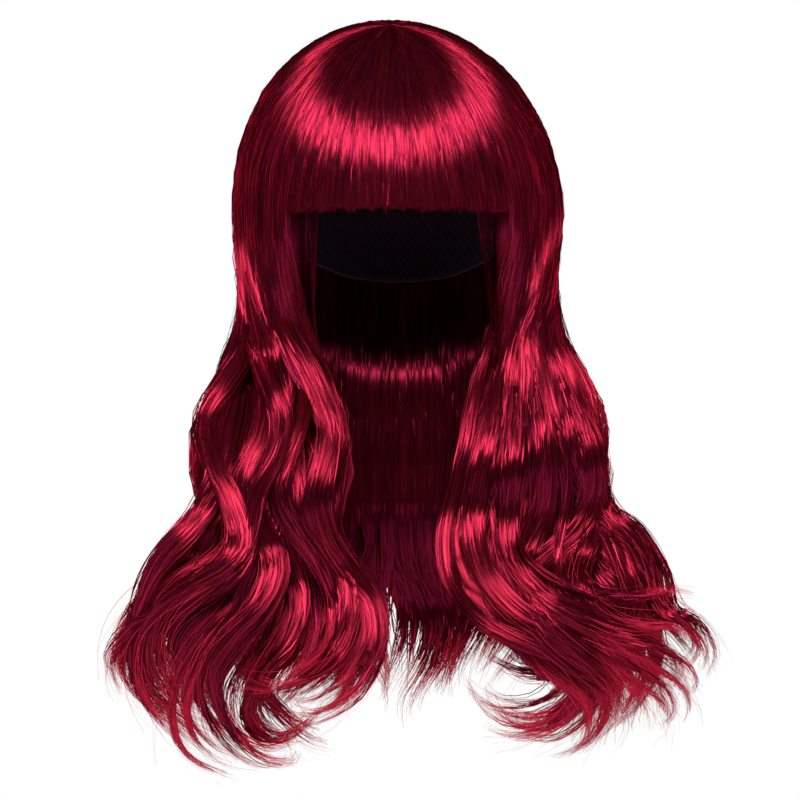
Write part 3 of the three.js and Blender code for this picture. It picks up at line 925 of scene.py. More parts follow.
def surface_strands(bunch, wisps, rng, count, width):
    """Strands that run from the whorl over the dome and down the outside of a bunch to their tips."""
    clump, place = clumped(rng, count, CLUMPS)
    centre = (clump + 0.5) / CLUMPS
    deep = np.abs(rng.normal(0, SINK["strand"], count)) + np.abs(rng.normal(0, SINK["clump"], CLUMPS))[clump]
    head_share = spread_rows(rng, count, *HEAD_SHARES, HEAD_ROWS)
    hang_level = spread_rows(rng, count, EDGE_LEVEL, WAIST_LEVEL, HANG_ROWS)
    hang_run = np.linspace(RING_RUN, RING_RUN + EDGE_LEVEL - WAIST_LEVEL, HANG_ROWS)
    run = np.concatenate((np.linspace(*HEAD_RUN, HEAD_ROWS), hang_run))[None]
    drift = waves(rng, CLUMPS, run, *WAVES["clump drift"])[clump]
    drift = drift + waves(rng, count, run, *WAVES["strand drift"]) * smoothstep(run, *DRIFT_RUN)
    tight = lerp(1.0, CLUMP_TIGHT, smoothstep(run, *TIGHT_RUN))
    across = centre[:, None] + place[:, None] * tight * CLUMP_FILL / CLUMPS + drift
    across = np.clip(across, *STRAND_ACROSS)
    angle = bunch.side * lerp(bunch.start, bunch.end, across[:, :HEAD_ROWS])
    head_layer = 1.0 - deep[:, None] + 0 * head_share
    on_head = crown_point(angle, head_share, head_layer)
    head_out = unit((on_head - CENTRE) / HAIR**2)
    hang_across = across[:, HEAD_ROWS:]
    hang_layer = outer_layer(bunch, hang_across, hang_level) - deep[:, None]
    lock, _ = nearest_locks(bunch, hang_across[:, -1], hang_layer[:, -1])
    own_late = rng.normal(0, LATENESS["strand"], count) + rng.normal(0, LATENESS["clump"], CLUMPS)[clump]
    aside, sunk, late = lock_stray(bunch, lock[:, 0], hang_across, hang_level, own_late)
    hang_across, hang_layer = hang_across + aside, hang_layer + sunk
    hanging, hang_out = hang_and_curl(bunch, wisps, rng, hang_across, hang_layer, hang_level, late)
    joined = smoothstep(np.arange(hanging.shape[1]), 0, JOIN_ROWS)[None, :, None]
    hang_out = unit(lerp(head_out[:, -1:], hang_out, joined))
    lifted = smoothstep(run, *LIFT_RUN)
    rough = lerp(1.0, ROUGH_MOST, smoothstep(run, *ROUGH_RUN)) * lifted * (1 - smoothstep(run, *CALM_RUN))
    height = waves(rng, count, run, *WAVES["strand height"]) * rough
    height = height + waves(rng, CLUMPS, run, *WAVES["clump height"])[clump] * lifted
    points = ease_bend(np.concatenate((on_head, hanging), axis=1), HEAD_ROWS, BEND_REACH)
    outward = np.concatenate((head_out, hang_out), axis=1)
    points[:, : run.shape[1]] += outward[:, : run.shape[1]] * height[..., None]
    widths = strand_widths(rng, width, row_shares(points), True)
    return Strands(points, outward, widths, rng.uniform(*TONES["surface"], count))


def inner_strands(bunch, wisps, rng, count, width):
    """Strands inside a bunch, which show on its inner face and round its locks below the waist."""
    across, layer = round_locks(bunch, rng, count)
    on_face = rng.uniform(0, 1, count) < INNER_FACE["share"]
    layer = np.where(on_face, rng.uniform(*INNER_FACE["layer"], count), np.clip(layer, *INNER_LAYER))
    start = np.where(on_face, rng.uniform(*INNER_FACE["start"], count), rng.uniform(*INNER_START, count))
    share = np.linspace(0, 1, INNER_ROWS)[None]
    level = lerp(start[:, None], WAIST_LEVEL, share)
    drawn_in = np.where(on_face, 0.0, INNER_DRAWN)[:, None] * (1 - smoothstep(share, 0, 1))
    across = lerp(across[:, None], 0.5, drawn_in) + waves(rng, count, -level, *WAVES["inner drift"])
    wander = waves(rng, count, -level, *WAVES["inner depth"]) * on_face[:, None]
    layer = np.maximum(lerp(layer[:, None], 0.5, drawn_in) + wander, 0)
    higher = start - np.mean(INNER_FACE["start"])
    late = np.where(on_face, bunch.ragged * higher, 0.0)[:, None] * winding(level) * inside_edges(across)
    points, outward = hang_and_curl(bunch, wisps, rng, across, layer, level, late)
    widths = strand_widths(rng, width, row_shares(points), False)
    # The inner face's tones are scaled down: painted shade, which dims the highlights inside the wig.
    tones = rng.uniform(*TONES["inner"], count) * np.where(on_face, INNER_FACE["tone"], 1.0)
    return Strands(points, outward, widths, tones)


def tress_line(bunch, tress, astray=0.0, own=0.0):
    """A tress's middle line over the front of a bunch, with the way it looks and the way across it.

    astray shifts the places that it passes, and own is how late it takes the bunch's waves.
    """
    path = np.array(tress.path) + astray
    fine = np.linspace(0, len(path) - 1, PATH_STEPS * len(path))
    aside, level = through(path[:, 0], fine), through(path[:, 1], fine)
    run = np.concatenate(((0,), np.cumsum(np.hypot(np.diff(aside), np.diff(level)))))
    even = np.linspace(0, run[-1], CURL_STEPS + 1)
    aside, level = np.interp(even, run, aside), np.interp(even, run, level)
    hung = np.maximum(level, WAIST_LEVEL)
    inner, outer, _, _ = section_at(bunch, hung)
    across = np.clip((aside - inner) / (outer - inner), *TRESS_ACROSS)
    kept = np.maximum(level, bunch.cling)
    late = (bunch.slant * (across - SLANT_MIDDLE) + own) * winding(kept)
    on_face = hanging_point(bunch, across, 1.0, kept, late)[:, 1]
    chest = TRESS_CHEST + TRESS_EDGE * np.abs(2 * across - 1) ** 3
    forward = lerp(on_face, chest, smoothstep(bunch.cling - level, *TRESS_REACH))
    heading = np.arctan2(np.gradient(aside), -np.gradient(level))
    sway = CURL_DEPTH * np.sin(heading) * smoothstep(WAIST_LEVEL - level, *TRESS_SWAY)
    risen = smoothstep(even, 0, TRESS_RISE)
    off = tress.lift * risen + sway - bunch.rooted * (1 - risen)
    line = np.stack((bunch.side * aside, forward + bunch.facing * off, level), axis=-1)
    along = unit(np.gradient(line, axis=0))
    turned = bunch.side * TRESS_TURN_OUT * (2 * across - 1)
    out = np.stack((turned, np.full_like(across, bunch.facing), 0 * across), axis=-1)
    outward = unit(out - along * dot(along, out)[:, None])
    return line, outward, np.cross(outward, along)


def tress_girth(half_width, share):
    """Half width and half depth along a tress: drawn in where it starts, and narrowing to its tip."""
    widening = lerp(TRESS_GIRTH["start"], 1.0, smoothstep(share, 0, TRESS_GIRTH["full"]))
    full = widening * (1 - TRESS_GIRTH["narrowing"] * smoothstep(share, TRESS_GIRTH["narrows"], 1.0))
    return half_width * full, half_width * TRESS_FLATNESS * full


def tress_strands(bunch, tresses, rng, width):
    """Strands of the tresses over a bunch. Each tress parts into wisps that end apart."""
    points, outward, tones = [], [], []
    for tress in tresses:
        count = round(2 * tress.half_width * TRESS_STRANDS_PER_MM / TRESS_WISPS)
        each = np.zeros(count, dtype=int)
        for wisp in range(TRESS_WISPS):
            astray = np.linspace(0, 1, len(tress.path))[:, None] ** 2 * rng.normal(0, TRESS_ASTRAY, 2)
            tables = tress_line(bunch, tress, astray, rng.normal(0, TRESS_LATENESS))
            first = rng.uniform(*TRESS_STARTS, (count, 1))
            last = rng.triangular(*TRESS_ENDS, (count, 1))
            share = lerp(first, last, np.linspace(0, 1, TRESS_ROWS)[None])
            centre, looks, sideways = (along_wisp(table[None], each, share) for table in tables)
            wide, deep = tress_girth(tress.half_width, share)
            turn = 2 * math.pi * (wisp + rng.uniform(0, 1, (count, 1))) / TRESS_WISPS
            turn = turn + rng.normal(0, TRESS_SCATTER, (count, 1)) + TRESS_TWIST * share
            spread = np.sqrt(rng.uniform(*TRESS_SPREAD, (count, 1)))
            frizz = [waves(rng, count, TRESS_RUN * share, *WAVES["tress frizz"]) for _ in range(2)]
            aside = wide * spread * np.cos(turn) + frizz[0]
            out = deep * spread * np.sin(turn) + frizz[1]
            points.append(centre + sideways * aside[..., None] + looks * out[..., None])
            faced = TRESS_OUTWARD + np.sin(turn)
            outward.append(unit(sideways * np.cos(turn)[..., None] + looks * faced[..., None]))
            # Strands on a tress's front take lighter tones than those round its sides and back: painted shade
            # that rounds it.
            risen = TRESS_PAINTED_SHADE * np.mean(spread * np.sin(turn), axis=1)
            tones.append(np.clip(rng.uniform(*TONES["tress"], count) + risen, 0, 1))
    points, outward, tones = np.concatenate(points), np.concatenate(outward), np.concatenate(tones)
    return Strands(points, outward, strand_widths(rng, width, row_shares(points), False), tones)


def tress_cores(bunch, tresses):
    """The dense hair inside each tress."""
    ring = np.linspace(0, 2 * math.pi, CORE_SIDES, endpoint=False)[None, :, None]
    share = np.linspace(*TRESS_CORE_SHARES, TRESS_CORE_ROWS)
    rows = np.round(share * CURL_STEPS).astype(int)
    tubes = []
    for tress in tresses:
        line, looks, sideways = (table[rows][:, None] for table in tress_line(bunch, tress))
        wide, deep = (half[:, None, None] * TRESS_CORE for half in tress_girth(tress.half_width, share))
        tubes.append(line + sideways * wide * np.cos(ring) + looks * deep * np.sin(ring))
    return tubes


def fringe_strands(rng, count, width):
    """Strands that run from the whorl down the front of the dome and are cut level."""
    clump, place = clumped(rng, count, FRINGE_CLUMPS)
    centre = lerp(-FRINGE_REACH, FRINGE_REACH, (clump + 0.5) / FRINGE_CLUMPS)
    share = spread_rows(rng, count, *FRINGE_SHARES, FRINGE_ROWS - 2)
    run = np.linspace(HEAD_RUN[0], RING_RUN, FRINGE_ROWS - 2)[None]
    drift = waves(rng, FRINGE_CLUMPS, run, *WAVES["fringe clump drift"])[clump]
    drift = drift + waves(rng, count, run, *WAVES["fringe drift"]) * smoothstep(run, *DRIFT_RUN)
    angle = centre[:, None] + place[:, None] * 2 * FRINGE_ANGLE / FRINGE_CLUMPS + drift
    deep = np.abs(rng.normal(0, FRINGE_SINK["strand"], count))
    deep = deep + np.abs(rng.normal(0, FRINGE_SINK["clump"], FRINGE_CLUMPS))[clump]
    under = rng.uniform(0, 1, count) < FRINGE_UNDER
    deep = np.where(under, rng.uniform(*FRINGE_SINK["under"], count), deep)
    tucked = FRINGE_SINK["tucked"] * smoothstep(share, *FRINGE_TUCK)
    on_head = crown_point(angle, share, 1.0 - deep[:, None] - tucked)
    cut = EDGE_LEVEL + rng.normal(0, FRINGE_CUT["clump"], FRINGE_CLUMPS)[clump]
    cut = cut + rng.normal(0, FRINGE_CUT["strand"], count)
    height = waves(rng, count, run, *WAVES["strand height"])
    height = height + waves(rng, FRINGE_CLUMPS, run, *WAVES["clump height"])[clump]
    height = height * smoothstep(run, *LIFT_RUN)
    on_head = on_head + unit((on_head - CENTRE) / HAIR**2) * height[..., None]
    last = on_head[:, -1]
    below = [np.stack((last[:, 0], last[:, 1], lerp(last[:, 2], cut, part)), axis=-1) for part in (0.5, 1.0)]
    points = np.concatenate((on_head, np.stack(below, axis=1)), axis=1)
    outward = unit((points - CENTRE) / HAIR**2)
    shares = row_shares(points)
    widths = width * rng.uniform(*WIDTH_RANGE, (count, 1))
    widths = widths * lerp(WHORL_WIDTH, 1.0, smoothstep(shares, 0, WHORL_SHARE))
    widths = widths * lerp(1, FRINGE_CUT["width"], smoothstep(shares, FRINGE_CUT["share"], 1))
    return Strands(points, outward, widths, rng.uniform(*TONES["fringe"], count))


def eased(values, passes):
    """Rows of values along each strand, each drawn towards the rows beside it."""
    values = values.copy()
    for _ in range(passes):
        values[:, 1:-1] = (values[:, :-2] + 2 * values[:, 1:-1] + values[:, 2:]) / 4
    return values


def loose_hairs(rng, strands, count, width, spring):
    """Single hairs that have sprung away from the strands beside them, and wave by themselves."""
    pick = rng.integers(0, len(strands.points), count)
    points = strands.points[pick]
    share = np.linspace(0, 1, points.shape[1])[None]
    run = LOOSE_RUN * share
    apart = smoothstep(share, rng.uniform(*LOOSE_LEAVES, (count, 1)), 1.0)
    away = rng.gamma(LOOSE_SHAPE, spring, (count, 1))
    away = away + waves(rng, count, run, LOOSE_WAVES["away"], (spring, spring / 3))
    away = apart * np.minimum(away, LOOSE_FARTHEST * spring)
    slide = rng.normal(0, LOOSE_ASIDE * spring, (count, 1))
    slide = apart * (slide + waves(rng, count, run, LOOSE_WAVES["aside"], (spring, spring / 2)))
    outward = unit(eased(strands.outward[pick], LOOSE_EASE["outward"]))
    along = unit(np.gradient(points, axis=1))
    side = np.cross(along, outward)
    points = points + outward * (LOOSE_LIFT + away)[..., None] + side * slide[..., None]
    points = eased(points, LOOSE_EASE["points"])
    widths = np.full(points.shape[:2], width)
    widths = widths * lerp(1.0, LOOSE_TIP["width"], smoothstep(share, LOOSE_TIP["share"], 1))
    return Strands(points, outward, widths, rng.uniform(*TONES["loose"], count))


def add_mesh(name, points, faces, fibre, bake, tone):
    """A smooth mesh from arrays: a UV place of each map for each corner, and a tone for each point."""
    mesh = bpy.data.meshes.new(name)
    mesh.vertices.add(len(points))
    mesh.vertices.foreach_set("co", (points * MM).astype(np.float32).ravel())
    corners = faces.shape[1]
    mesh.loops.add(faces.size)
    mesh.loops.foreach_set("vertex_index", faces.astype(np.int32).ravel())
    mesh.polygons.add(len(faces))
    mesh.polygons.foreach_set("loop_start", np.arange(0, faces.size, corners, dtype=np.int32))
    mesh.polygons.foreach_set("use_smooth", np.ones(len(faces), dtype=bool))
    for layer_name, places in (("fibre", fibre), ("OFBake", bake)):
        layer = mesh.uv_layers.new(name=layer_name)
        layer.data.foreach_set("uv", places.astype(np.float32).ravel())
    mesh.attributes.new("tone", "FLOAT", "POINT").data.foreach_set("value", tone.astype(np.float32))
    mesh.validate()
    mesh.update()
    piece = bpy.data.objects.new(name, mesh)
    bpy.context.scene.collection.objects.link(piece)
    return piece


def grid_faces(rows, columns, closed):
    """Corner numbers of a grid's four-sided faces, joined round if it is closed."""
    across = np.arange(columns if closed else columns - 1)
    row, column = np.meshgrid(np.arange(rows - 1), across, indexing="ij")
    beside = (column + 1) % columns
    upper, lower = row * columns, (row + 1) * columns
    corners = (upper + column, upper + beside, lower + beside, lower + column)
    return np.stack(corners, axis=-1).reshape(-1, 4)


def run_along(points):
    """How far along its line each point lies, for lines of points."""
    steps = np.linalg.norm(np.diff(points, axis=-2), axis=-1)
    return np.concatenate((np.zeros_like(steps[..., :1]), np.cumsum(steps, axis=-1)), axis=-1)


def ribbon_piece(name, batches, rng, fine_width):
    """One mesh of narrow ribbons from batches of strands, each turned a little about its own length.

    From halfway down, ribbons narrower than fine_width take the piece's second material.
    """
    points, faces, fibre, bake, tones, fine = [], [], [], [], [], []
    total = sum(len(batch.points) for batch in batches)
    side_cells = math.ceil(math.sqrt(total))
    made = 0
    first = 0
    for batch in batches:
        count, rows = batch.points.shape[:2]
        along = unit(np.gradient(batch.points, axis=1))
        side = unit(np.cross(along, batch.outward))
        out = np.cross(side, along)
        roll = rng.normal(0, RIBBON_ROLL, (count, 1, 1))
        side = side * np.cos(roll) + out * np.sin(roll)
        half = side * batch.widths[..., None] / 2
        edges = np.stack((batch.points - half, batch.points + half), axis=2)
        sheet = grid_faces(rows, 2, False)
        numbers = first + np.arange(count)[:, None, None] * rows * 2 + sheet[None]
        across = np.broadcast_to(np.array((0.0, 1.0)), (count, rows, 2))
        down = np.repeat(run_along(batch.points)[..., None] * MM, 2, axis=2)
        places = np.stack((across, down), axis=-1).reshape(count, rows * 2, 2)
        fibre.append(places[:, sheet].reshape(-1, 2))
        cell = made + np.arange(count)
        corner = np.stack((cell % side_cells, cell // side_cells), axis=-1)[:, None]
        margins = RIBBON_MARGIN, 1 - RIBBON_MARGIN
        inside = np.stack((np.tile(margins, rows), np.repeat(np.linspace(*margins, rows), 2)), axis=-1)
        bake.append(((corner + inside[None]) / side_cells)[:, sheet].reshape(-1, 2))
        points.append(edges.reshape(-1, 3))
        faces.append(numbers.reshape(-1, 4))
        # Tones rise towards each strand's tip: painted light for the light that passes through its thin end.
        glow = TIP_PAINTED_LIGHT * smoothstep(np.linspace(0, 1, rows), 1 - TIP_SHARE, 1)
        tones.append(np.repeat(lerp(batch.tones[:, None], 1.0, glow), 2, axis=1).ravel())
        narrow = (batch.widths[:, 1:] < fine_width) & (np.arange(1, rows) > rows / 2)
        fine.append(narrow.ravel())
        made += count
        first += count * rows * 2
    piece = add_mesh(name, *(np.concatenate(part) for part in (points, faces, fibre, bake, tones)))
    piece.data.polygons.foreach_set("material_index", np.concatenate(fine).astype(np.int32))
    return piece


def tube_piece(name, tubes):
    """One mesh of closed tubes, each a stack of rings, drawn together at both ends."""
    points, faces, fibre, bake, tones = [], [], [], [], []
    side_cells = math.ceil(math.sqrt(len(tubes)))
    first = 0
    for number, rings in enumerate(tubes):
        ends = [np.broadcast_to(rings[row].mean(axis=0), rings[:1].shape) for row in (0, -1)]
        rings = np.concatenate((ends[0], rings, ends[1]))
        rows, columns = rings.shape[:2]
        sheet = grid_faces(rows, columns, True)
        run = run_along(rings.mean(1))
        girth = np.linalg.norm(np.diff(rings[rows // 2], axis=0), axis=-1).sum()
        column = np.tile(np.arange(columns), rows)
        row = np.repeat(np.arange(rows), columns)
        turn = column[sheet]
        closing = (turn == 0) & (turn.max(axis=1, keepdims=True) == columns - 1)
        turn = np.where(closing, columns, turn)
        fibre.append(np.stack((turn / columns * girth * MM, run[row[sheet]] * MM), axis=-1).reshape(-1, 2))
        corner = np.array((number % side_cells, number // side_cells))
        inside = np.stack((turn / columns, row[sheet] / (rows - 1)), axis=-1)
        inside = TUBE_MARGIN + (1 - 2 * TUBE_MARGIN) * inside
        bake.append(((corner + inside) / side_cells).reshape(-1, 2))
        points.append(rings.reshape(-1, 3))
        faces.append(first + sheet)
        tones.append(np.full(rows * columns, 0.5 + 0.5 * (number * TUBE_TONE_STEP % 1)))
        first += rows * columns
    return add_mesh(name, *(np.concatenate(part) for part in (points, faces, fibre, bake, tones)))


def bunch_core(bunch, wisps):
    """The dense hair inside a bunch: its mass down to the waist, and the middle of each wisp."""
    turn = np.linspace(0, 2 * math.pi, CORE_COLUMNS, endpoint=False) * -bunch.side * bunch.facing
    across = 0.5 + 0.5 * np.sign(np.cos(turn)) * np.abs(np.cos(turn)) ** CORE_SQUARE * CORE_FILL["across"]
    layer = 0.5 + 0.5 * np.sign(np.sin(turn)) * np.abs(np.sin(turn)) ** CORE_SQUARE * CORE_FILL["layer"]
    rings = []
    for level in np.linspace(EDGE_LEVEL + CORE_TOP, WAIST_LEVEL, CORE_RINGS):
        sunk = lerp(*CORE_SUNK, smoothstep(-level, *CORE_LEVELS))
        outer = outer_layer(bunch, across, np.full_like(across, level)) - sunk
        rings.append(hanging_point(bunch, across, np.minimum(layer, outer), np.full_like(across, level)))
    middle = rings[-1].mean(axis=0)
    rings.append(lerp(rings[-1], middle, CORE_FOOT["drawn"]) - (0, 0, CORE_FOOT["drop"]))
    tubes = [np.array(rings)]
    ring = np.linspace(0, 2 * math.pi, CORE_SIDES, endpoint=False)
    rows = np.arange(0, round(CORE_SHARE * CURL_STEPS) + 1, CORE_STEP)
    share = rows / rows[-1]
    thin = (WISP_CORE * (1 - CORE_NARROWING * share**1.5))[:, None, None]
    for wisp in range(len(wisps.lock)):
        half = wisps.half[wisp]
        around = np.cos(ring)[None, :, None] * half[0], np.sin(ring)[None, :, None] * half[1]
        frame_at = wisps.sideways[wisp, rows][:, None], wisps.outward[wisp, rows][:, None]
        section = around[0] * frame_at[0] + around[1] * frame_at[1]
        curl = wisps.centre[wisp, rows][:, None] + section * thin
        across, layer = wisps.place[wisp]
        sunk = lerp(layer, 0.5, CORE_ROOT["sunk"])
        root = hanging_point(bunch, across, sunk, WAIST_LEVEL + LOCK_ROOT)
        root = root + section[0] * WISP_CORE * CORE_ROOT["size"]
        tubes.append(np.concatenate((root[None], curl)))
    return tubes


def dome_core(first_angle, last_angle, dome):
    """The dense hair over a sector of the cap, as one closed shell of slices round the dome."""
    share = np.linspace(0.0, 1.0, DOME_ROWS)
    slices = []
    for angle in np.linspace(first_angle, last_angle, dome["columns"]):
        outside = crown_point(angle, share, DOME_LAYER)
        inside = crown_point(angle, share, lerp(*dome["inner"], smoothstep(share, *DOME_FOOT)))
        feet = [face[-1:] * (1, 1, 0) + (0, 0, dome["low"]) for face in (outside, inside)]
        slices.append(np.concatenate((outside, *feet, inside[::-1])))
    return [np.array(slices)]


def cap_rings():
    """The cap's net down its outside, round the rim and up its inside, with a ridge for each weft row."""
    turn = np.linspace(0, 2 * math.pi, CAP_COLUMNS, endpoint=False)
    fall = np.linspace(0, math.pi, CAP_FINE_ROWS)[:, None]
    level = HEAD[2] * np.cos(fall) + CENTRE[2] + 0 * turn
    depth = -HEAD[1] * np.sin(fall) * np.cos(turn)
    front, ears, nape = CAP_RIM["front"], CAP_RIM["ears"], CAP_RIM["nape"]
    rim = through((front, (front + ears) / 2, ears, (ears + nape) / 2, nape), 2 + 2 * depth / HEAD[1])
    rim_fall = fall[np.argmax(level < rim, axis=0), 0]
    share = np.linspace(0, 1, CAP_ROWS)[:, None]
    tilt = share * rim_fall
    direction = np.stack((np.sin(tilt) * np.sin(turn), -np.sin(tilt) * np.cos(turn), np.cos(tilt)), axis=-1)
    run = HEAD[2] * tilt
    ridge = WEFT["height"] * np.maximum(np.cos(2 * math.pi * run / WEFT["spacing"]), 0) ** WEFT["sharpness"]
    ridge = ridge * smoothstep(run, WEFT["first"], WEFT["first"] + WEFT["spacing"])
    hem = WEFT["height"] * smoothstep(share, 1 - WEFT["hem"], 1 - WEFT["hem"] / 2)
    outside = CENTRE + direction * (HEAD + CAP_WALL)
    inside = CENTRE + direction * (HEAD - np.maximum(ridge, hem)[..., None])
    return np.concatenate((outside, inside[::-1]))


def linear(hex_colour):
    """A colour in linear light, with full alpha, from its sRGB hex value."""
    parts = [int(hex_colour[i : i + 2], 16) / 255 for i in (0, 2, 4)]
    return tuple(c / 12.92 if c <= 0.04045 else ((c + 0.055) / 1.055) ** 2.4 for c in parts) + (1.0,)


def add_node(tree, kind, settings, inputs):
    """Adds a node with its settings, and sets each input or links it to another node's output."""
    node = tree.nodes.new(kind)
    for name, value in settings.items():
        setattr(node, name, value)
    for name, value in inputs.items():
        if isinstance(value, bpy.types.NodeSocket):
            tree.links.new(value, node.inputs[name])
        else:
            node.inputs[name].default_value = value
    return node


def new_material(name):
    material = bpy.data.materials.new(name)
    material.use_nodes = True
    material.node_tree.nodes.clear()
    return material, material.node_tree


# What a strand gives back when it is seen almost edge on.
GRAZING_TINT = linear("a03060")


# Extruded synthetic wig fibre, dyed through. It is sleek and a little translucent, so its highlights take the
# dye's colour, lie across the strands in bands, and differ a little from one strand to the next. Coloured
# highlights need a high Metallic value. Fine ends, which light passes through, go without it and take a
# brighter dye: painted light for the light that passes through them.
def synthetic_fibre(name, colours, shine, streaked):
    material, tree = new_material(name)
    tone = add_node(tree, "ShaderNodeAttribute", {"attribute_name": "tone"}, {}).outputs["Fac"]
    place = add_node(tree, "ShaderNodeUVMap", {"uv_map": "fibre"}, {}).outputs["UV"]
    # An underlayer's strands lie 0.8 mm apart, coarser than real ones so that they show. Tones change over
    # some 40 mm of a strand's length.
    stretch = (1 / FIBRE_SPACING if streaked else 0.0, 1 / FIBRE_TONE_RUN, 1.0)
    spread = add_node(tree, "ShaderNodeVectorMath", {"operation": "MULTIPLY"}, {0: place, 1: stretch})
    shift = add_node(tree, "ShaderNodeCombineXYZ", {}, {"Z": tone}).outputs["Vector"]
    apart = add_node(tree, "ShaderNodeVectorMath", {"operation": "SCALE"}, {0: shift, "Scale": FIBRE_APART})
    where = add_node(
        tree,
        "ShaderNodeVectorMath",
        {"operation": "ADD"},
        {0: spread.outputs["Vector"], 1: apart.outputs["Vector"]},
    ).outputs["Vector"]
    noise = {"Vector": where, "Scale": 1.0, "Detail": 2.0}
    mottle = add_node(tree, "ShaderNodeTexNoise", {}, noise).outputs["Fac"]
    blend = {"Factor": FIBRE_MOTTLE, "A": tone, "B": mottle}
    mixed = add_node(tree, "ShaderNodeMix", {"data_type": "FLOAT"}, blend).outputs["Result"]
    dyes = {0: mixed, 6: colours[0], 7: colours[1]}
    dye = add_node(tree, "ShaderNodeMix", {"data_type": "RGBA"}, dyes).outputs[2]
    across = add_node(tree, "ShaderNodeTangent", {"direction_type": "UV_MAP", "uv_map": "fibre"}, {})
    inputs = {
        "Base Color": dye,
        "Metallic": shine,
        "Roughness": FIBRE_ROUGHNESS,
        "IOR": FIBRE_IOR,
        "Specular Tint": GRAZING_TINT,
        "Anisotropic": 1.0,
        "Tangent": across.outputs["Tangent"],
    }
    if streaked:
        relief = {"Height": mottle, "Strength": FIBRE_GROOVE, "Distance": FIBRE_SPACING}
        inputs["Normal"] = add_node(tree, "ShaderNodeBump", {}, relief).outputs["Normal"]
    shader = add_node(tree, "ShaderNodeBsdfPrincipled", {}, inputs)
    add_node(tree, "ShaderNodeOutputMaterial", {}, {"Surface": shader.outputs["BSDF"]})
    return material


# Elastic net, knitted and dyed dark. It is matte, and its open meshes show as a lattice. Its threads lie
# about 3.5 mm apart, coarser than real ones so that they show.
def elastic_net(name, colour, mesh_size):
    material, tree = new_material(name)
    place = add_node(tree, "ShaderNodeUVMap", {"uv_map": "fibre"}, {}).outputs["UV"]
    lattice = []
    for lean in (1.0, -1.0):
        stretch = {0: place, 1: (lean / mesh_size, 1 / mesh_size, 0.0)}
        slant = add_node(tree, "ShaderNodeVectorMath", {"operation": "MULTIPLY"}, stretch).outputs["Vector"]
        bands = {"Vector": slant, "Scale": NET_WAVE}
        threads = add_node(tree, "ShaderNodeTexWave", {"bands_direction": "DIAGONAL"}, bands)
        lattice.append(threads.outputs["Fac"])
    crossed = {0: lattice[0], 1: lattice[1]}
    knit = add_node(tree, "ShaderNodeMath", {"operation": "MAXIMUM"}, crossed).outputs["Value"]
    hole = tuple(NET_HOLE * part for part in colour[:3]) + (1.0,)
    tints = {0: knit, 6: hole, 7: colour}
    tint = add_node(tree, "ShaderNodeMix", {"data_type": "RGBA"}, tints).outputs[2]
    relief = {"Height": knit, "Strength": NET_RELIEF["strength"], "Distance": NET_RELIEF["height"]}
    bump = add_node(tree, "ShaderNodeBump", {}, relief).outputs["Normal"]
    inputs = {"Base Color": tint, "Roughness": 0.8, "Sheen Weight": 0.2, "Normal": bump}
    shader = add_node(tree, "ShaderNodeBsdfPrincipled", {}, inputs)
    add_node(tree, "ShaderNodeOutputMaterial", {}, {"Surface": shader.outputs["BSDF"]})
    return material


# Matte studio paper, pressed smooth. It is pale and even, and fades out at its rim so that no edge shows. Its
# grain of about 3 mm is coarser than real paper's, so that it shows at all.
def studio_paper(name, colour, radius):
    material, tree = new_material(name)
    place = add_node(tree, "ShaderNodeTexCoord", {}, {}).outputs["Object"]
    away = add_node(tree, "ShaderNodeVectorMath", {"operation": "LENGTH"}, {0: place}).outputs["Value"]
    first, last = (share * radius for share in PAPER_FADE)
    ends = {"Value": away, "From Min": first, "From Max": last}
    faded = add_node(tree, "ShaderNodeMapRange", {"interpolation_type": "SMOOTHSTEP"}, ends).outputs["Result"]
    noise = {"Vector": place, "Scale": PAPER_GRAINS_PER_METRE, "Detail": 3.0}
    grain = add_node(tree, "ShaderNodeTexNoise", {}, noise).outputs["Fac"]
    relief = {"Height": grain, "Strength": PAPER_RELIEF["strength"], "Distance": PAPER_RELIEF["height"]}
    bump = add_node(tree, "ShaderNodeBump", {}, relief).outputs["Normal"]
    inputs = {"Base Color": colour, "Roughness": 0.9, "Normal": bump}
    paper = add_node(tree, "ShaderNodeBsdfPrincipled", {}, inputs).outputs["BSDF"]
    # It looks paler than it lights the hair, because the white backdrop behind it does the same.
    seen = add_node(tree, "ShaderNodeLightPath", {}, {}).outputs["Is Camera Ray"]
    lifted = {0: seen, 1: PAPER_LIFT}
    lift = add_node(tree, "ShaderNodeMath", {"operation": "MULTIPLY"}, lifted).outputs["Value"]
    glow = add_node(tree, "ShaderNodeEmission", {}, {"Color": colour, "Strength": lift}).outputs["Emission"]
    pale = add_node(tree, "ShaderNodeAddShader", {}, {0: paper, 1: glow}).outputs["Shader"]
    clear = add_node(tree, "ShaderNodeBsdfTransparent", {}, {}).outputs["BSDF"]
    blend = add_node(tree, "ShaderNodeMixShader", {}, {0: faded, 1: pale, 2: clear}).outputs["Shader"]
    add_node(tree, "ShaderNodeOutputMaterial", {}, {"Surface": blend})
    return material


def dress(piece, materials, nodes):
    """Finishes a piece: its materials, the body it rides on and the solids it stands for."""
    for material in materials:
        piece.data.materials.append(material)
    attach(piece, "root")
    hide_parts(*nodes)


